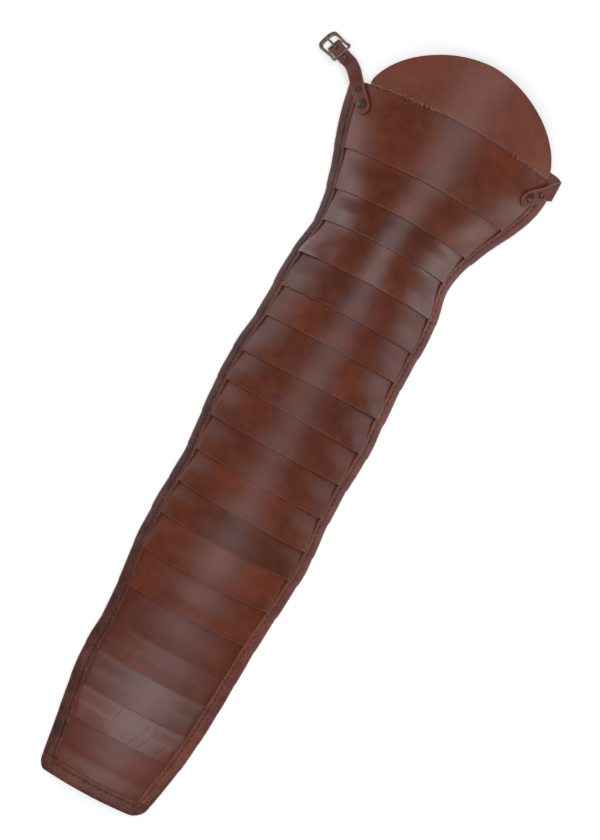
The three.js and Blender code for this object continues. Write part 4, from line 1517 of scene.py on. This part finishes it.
class MANICA_OT_binding(bpy.types.Operator):
    """Folds the binding round the edges of the lames and sews it down."""

    bl_idname = "manica.binding"
    bl_label = "Edge binding"

    def execute(self, context):
        scene = context.scene
        sizes, colours = scene.manica_sizes, scene.manica_colours
        material = leather("binding_leather", colours.binding, BINDING_HIDE)
        thread = waxed_thread("binding_thread", colours.binding_thread)
        pitch = sizes.stitch_pitch / MM
        edges = [
            ("binding_left", *side_binding_points(-1, BINDING_TOP_LEFT), BINDING_LEFT_SHADED_LOOK),
            ("binding_right", *side_binding_points(1, BINDING_TOP_RIGHT), BINDING_RIGHT_LIT_LOOK),
            ("binding_wrist", *wrist_binding_points(), BINDING_WRIST_LOOK),
        ]
        for name, points, layout, look in edges:
            build_binding(name, points, layout, look, material, sizes)
            stitch = thread_bit(sizes.thread_width, STITCH_SHARE * pitch)
            sew(f"{name}_stitches", stitch, binding_stitches(points, pitch), thread)
        return {"FINISHED"}


class MANICA_OT_straps(bpy.types.Operator):
    """Lays both straps along their routes."""

    bl_idname = "manica.straps"
    bl_label = "Straps"

    def execute(self, context):
        scene = context.scene
        sizes = scene.manica_sizes
        material = leather("strap_leather", scene.manica_colours.strap, STRAP_HIDE)
        build_strap("buckle_strap", buckle_strap_route(), True, BUCKLE_STRAP_LOOK, material, sizes)
        build_strap("long_strap", long_strap_route(), False, LONG_STRAP_LOOK, material, sizes)
        return {"FINISHED"}


class MANICA_OT_rivets(bpy.types.Operator):
    """Sets the rivets in the straps."""

    bl_idname = "manica.rivets"
    bl_label = "Rivets"

    def execute(self, context):
        colours = context.scene.manica_colours
        material = aged_metal("aged_brass", colours.brass, colours.brass_patina, BRASS_SHINE)
        for number, rivet in enumerate(ROOT_RIVETS, 1):
            s = arch_column(np.array(rivet.x), np.array(rivet.y), ROOT_HEIGHT)
            grip = ROOT_HEIGHT + STRAP_THICKNESS / 2 + RIVET_SEAT - rivet.under
            place, face = over_arch(rivet.y, s, rivet.under), arch_normal(rivet.y, s)
            build_rivet(number, rivet.radius, grip, rivet.head, place, face, material)
        grip = 2 * STRAP_THICKNESS + 3 * GAP
        place = beside_bar(FOLD_RIVET_BACK, -grip / 2)
        build_rivet(len(ROOT_RIVETS) + 1, FOLD_RIVET_RADIUS, grip, FLAT_HEAD, place, UP, material)
        return {"FINISHED"}


class MANICA_OT_buckle(bpy.types.Operator):
    """Makes the buckle's frame and its prong."""

    bl_idname = "manica.buckle"
    bl_label = "Buckle"

    def execute(self, context):
        colours = context.scene.manica_colours
        material = aged_metal("aged_steel", colours.steel, colours.steel_patina, STEEL_SHINE)
        build_frame(material)
        build_prong(material)
        return {"FINISHED"}


# Stage

PHOTO_TURN = radians(28.1)
CAMERA_HEIGHT = 1.35
VIEW_LENGTH = 0.756
SENSOR = 36.0
COOL_LIGHT = (0.93, 0.96, 1.0)
TABLE_SIZE = 8.0

# Softboxes in metres: their width and length, and their place from the middle of the table. The low ones stand on
# each side, with their place and target as Y and Z in the frame.
OVERHEAD_SIZE = (1.1, 3.6)
OVERHEAD_PLACE = Vector((0.12, 0.4, 2.0))
FILL_SIZE = (0.6, 2.4)
FILL_PLACE = Vector((0.05, 0.1, 2.2))
WRIST_SIZE = (4.2, 0.26)
WRIST_PLACE = Vector((0.0, -0.52, 2.0))
SIDE_SIZE = (0.22, 0.3)
SIDE_OUT = 0.9
SIDE_PLACE = (0.25, 0.17)
SIDE_TARGET = (0.25, 0.03)


def softbox(name, size, length, power, place, target=None):
    """A soft rectangular light, turned to its target, or else shining straight down."""
    deselect()
    bpy.ops.object.light_add(type="AREA", location=place)
    light = bpy.context.object
    light.name = name
    light.data.shape = "RECTANGLE"
    light.data.size = size
    light.data.size_y = length
    light.data.energy = power
    light.data.color = COOL_LIGHT
    if target is not None:
        light.rotation_euler = (Vector(target) - Vector(place)).to_track_quat("-Z", "Y").to_euler()
    return light


class MANICA_OT_stage(bpy.types.Operator):
    """Sets a pale table, soft lights and a camera straight over the table."""

    bl_idname = "manica.stage"
    bl_label = "Studio"

    def execute(self, context):
        scene = context.scene
        lamps = scene.manica_light
        deselect()
        bpy.ops.mesh.primitive_plane_add(size=TABLE_SIZE)
        table = name_piece("table_top")
        table.data.materials.append(pale_table_top("pale_table", lamps.table_glow))
        centre = Vector(TABLE_SHIFT)
        softbox("overhead_softbox", *OVERHEAD_SIZE, lamps.overhead, centre + OVERHEAD_PLACE)
        fill = softbox("fill_softbox", *FILL_SIZE, lamps.fill, centre + FILL_PLACE, centre)
        fill.visible_glossy = False
        softbox("wrist_softbox", *WRIST_SIZE, lamps.wrist, centre + WRIST_PLACE)
        for name, out in (("left_softbox", -SIDE_OUT), ("right_softbox", SIDE_OUT)):
            softbox(name, *SIDE_SIZE, lamps.sides, (out, *SIDE_PLACE), (0, *SIDE_TARGET))
        world = bpy.data.worlds.new("studio_room")
        world.use_nodes = True
        background = world.node_tree.nodes["Background"]
        background.inputs["Color"].default_value = toned(WHITE, 1.0)
        background.inputs["Strength"].default_value = lamps.surroundings
        scene.world = world
        scene.view_settings.view_transform = "Standard"
        deselect()
        bpy.ops.object.camera_add(location=centre + Vector((0, 0, CAMERA_HEIGHT)), rotation=(0, 0, PHOTO_TURN))
        camera = bpy.context.object
        camera.name = "photo_camera"
        camera.data.sensor_width = SENSOR
        camera.data.lens = SENSOR * CAMERA_HEIGHT / VIEW_LENGTH
        scene.camera = camera
        return {"FINISHED"}


class MANICA_PT_bench(bpy.types.Panel):
    """Lists the manica's operators with its sizes, colours and lights."""

    bl_idname = "MANICA_PT_bench"
    bl_label = "Manica"
    bl_space_type = "VIEW_3D"
    bl_region_type = "UI"
    bl_category = "Manica"

    def draw(self, context):
        layout = self.layout
        for operator in OPERATORS:
            layout.operator(operator.bl_idname)
        for group in (context.scene.manica_sizes, context.scene.manica_colours, context.scene.manica_light):
            box = layout.box()
            for name in group.bl_rna.properties.keys():
                if name not in ("rna_type", "name"):
                    box.prop(group, name)


OPERATORS = (
    MANICA_OT_stage,
    MANICA_OT_lames,
    MANICA_OT_cap,
    MANICA_OT_binding,
    MANICA_OT_straps,
    MANICA_OT_rivets,
    MANICA_OT_buckle,
)
CLASSES = (ManicaSizes, ManicaColours, ManicaLight, *OPERATORS, MANICA_PT_bench)


def register():
    for cls in CLASSES:
        bpy.utils.register_class(cls)
    bpy.types.Scene.manica_sizes = bpy.props.PointerProperty(type=ManicaSizes)
    bpy.types.Scene.manica_colours = bpy.props.PointerProperty(type=ManicaColours)
    bpy.types.Scene.manica_light = bpy.props.PointerProperty(type=ManicaLight)


def unregister():
    del bpy.types.Scene.manica_sizes
    del bpy.types.Scene.manica_colours
    del bpy.types.Scene.manica_light
    for cls in reversed(CLASSES):
        bpy.utils.unregister_class(cls)


def main():
    register()
    bpy.ops.manica.stage()
    bpy.ops.manica.lames()
    bpy.ops.manica.cap()
    bpy.ops.manica.binding()
    bpy.ops.manica.straps()
    bpy.ops.manica.rivets()
    bpy.ops.manica.buckle()
    deselect()


if __name__ == "__main__":
    main()
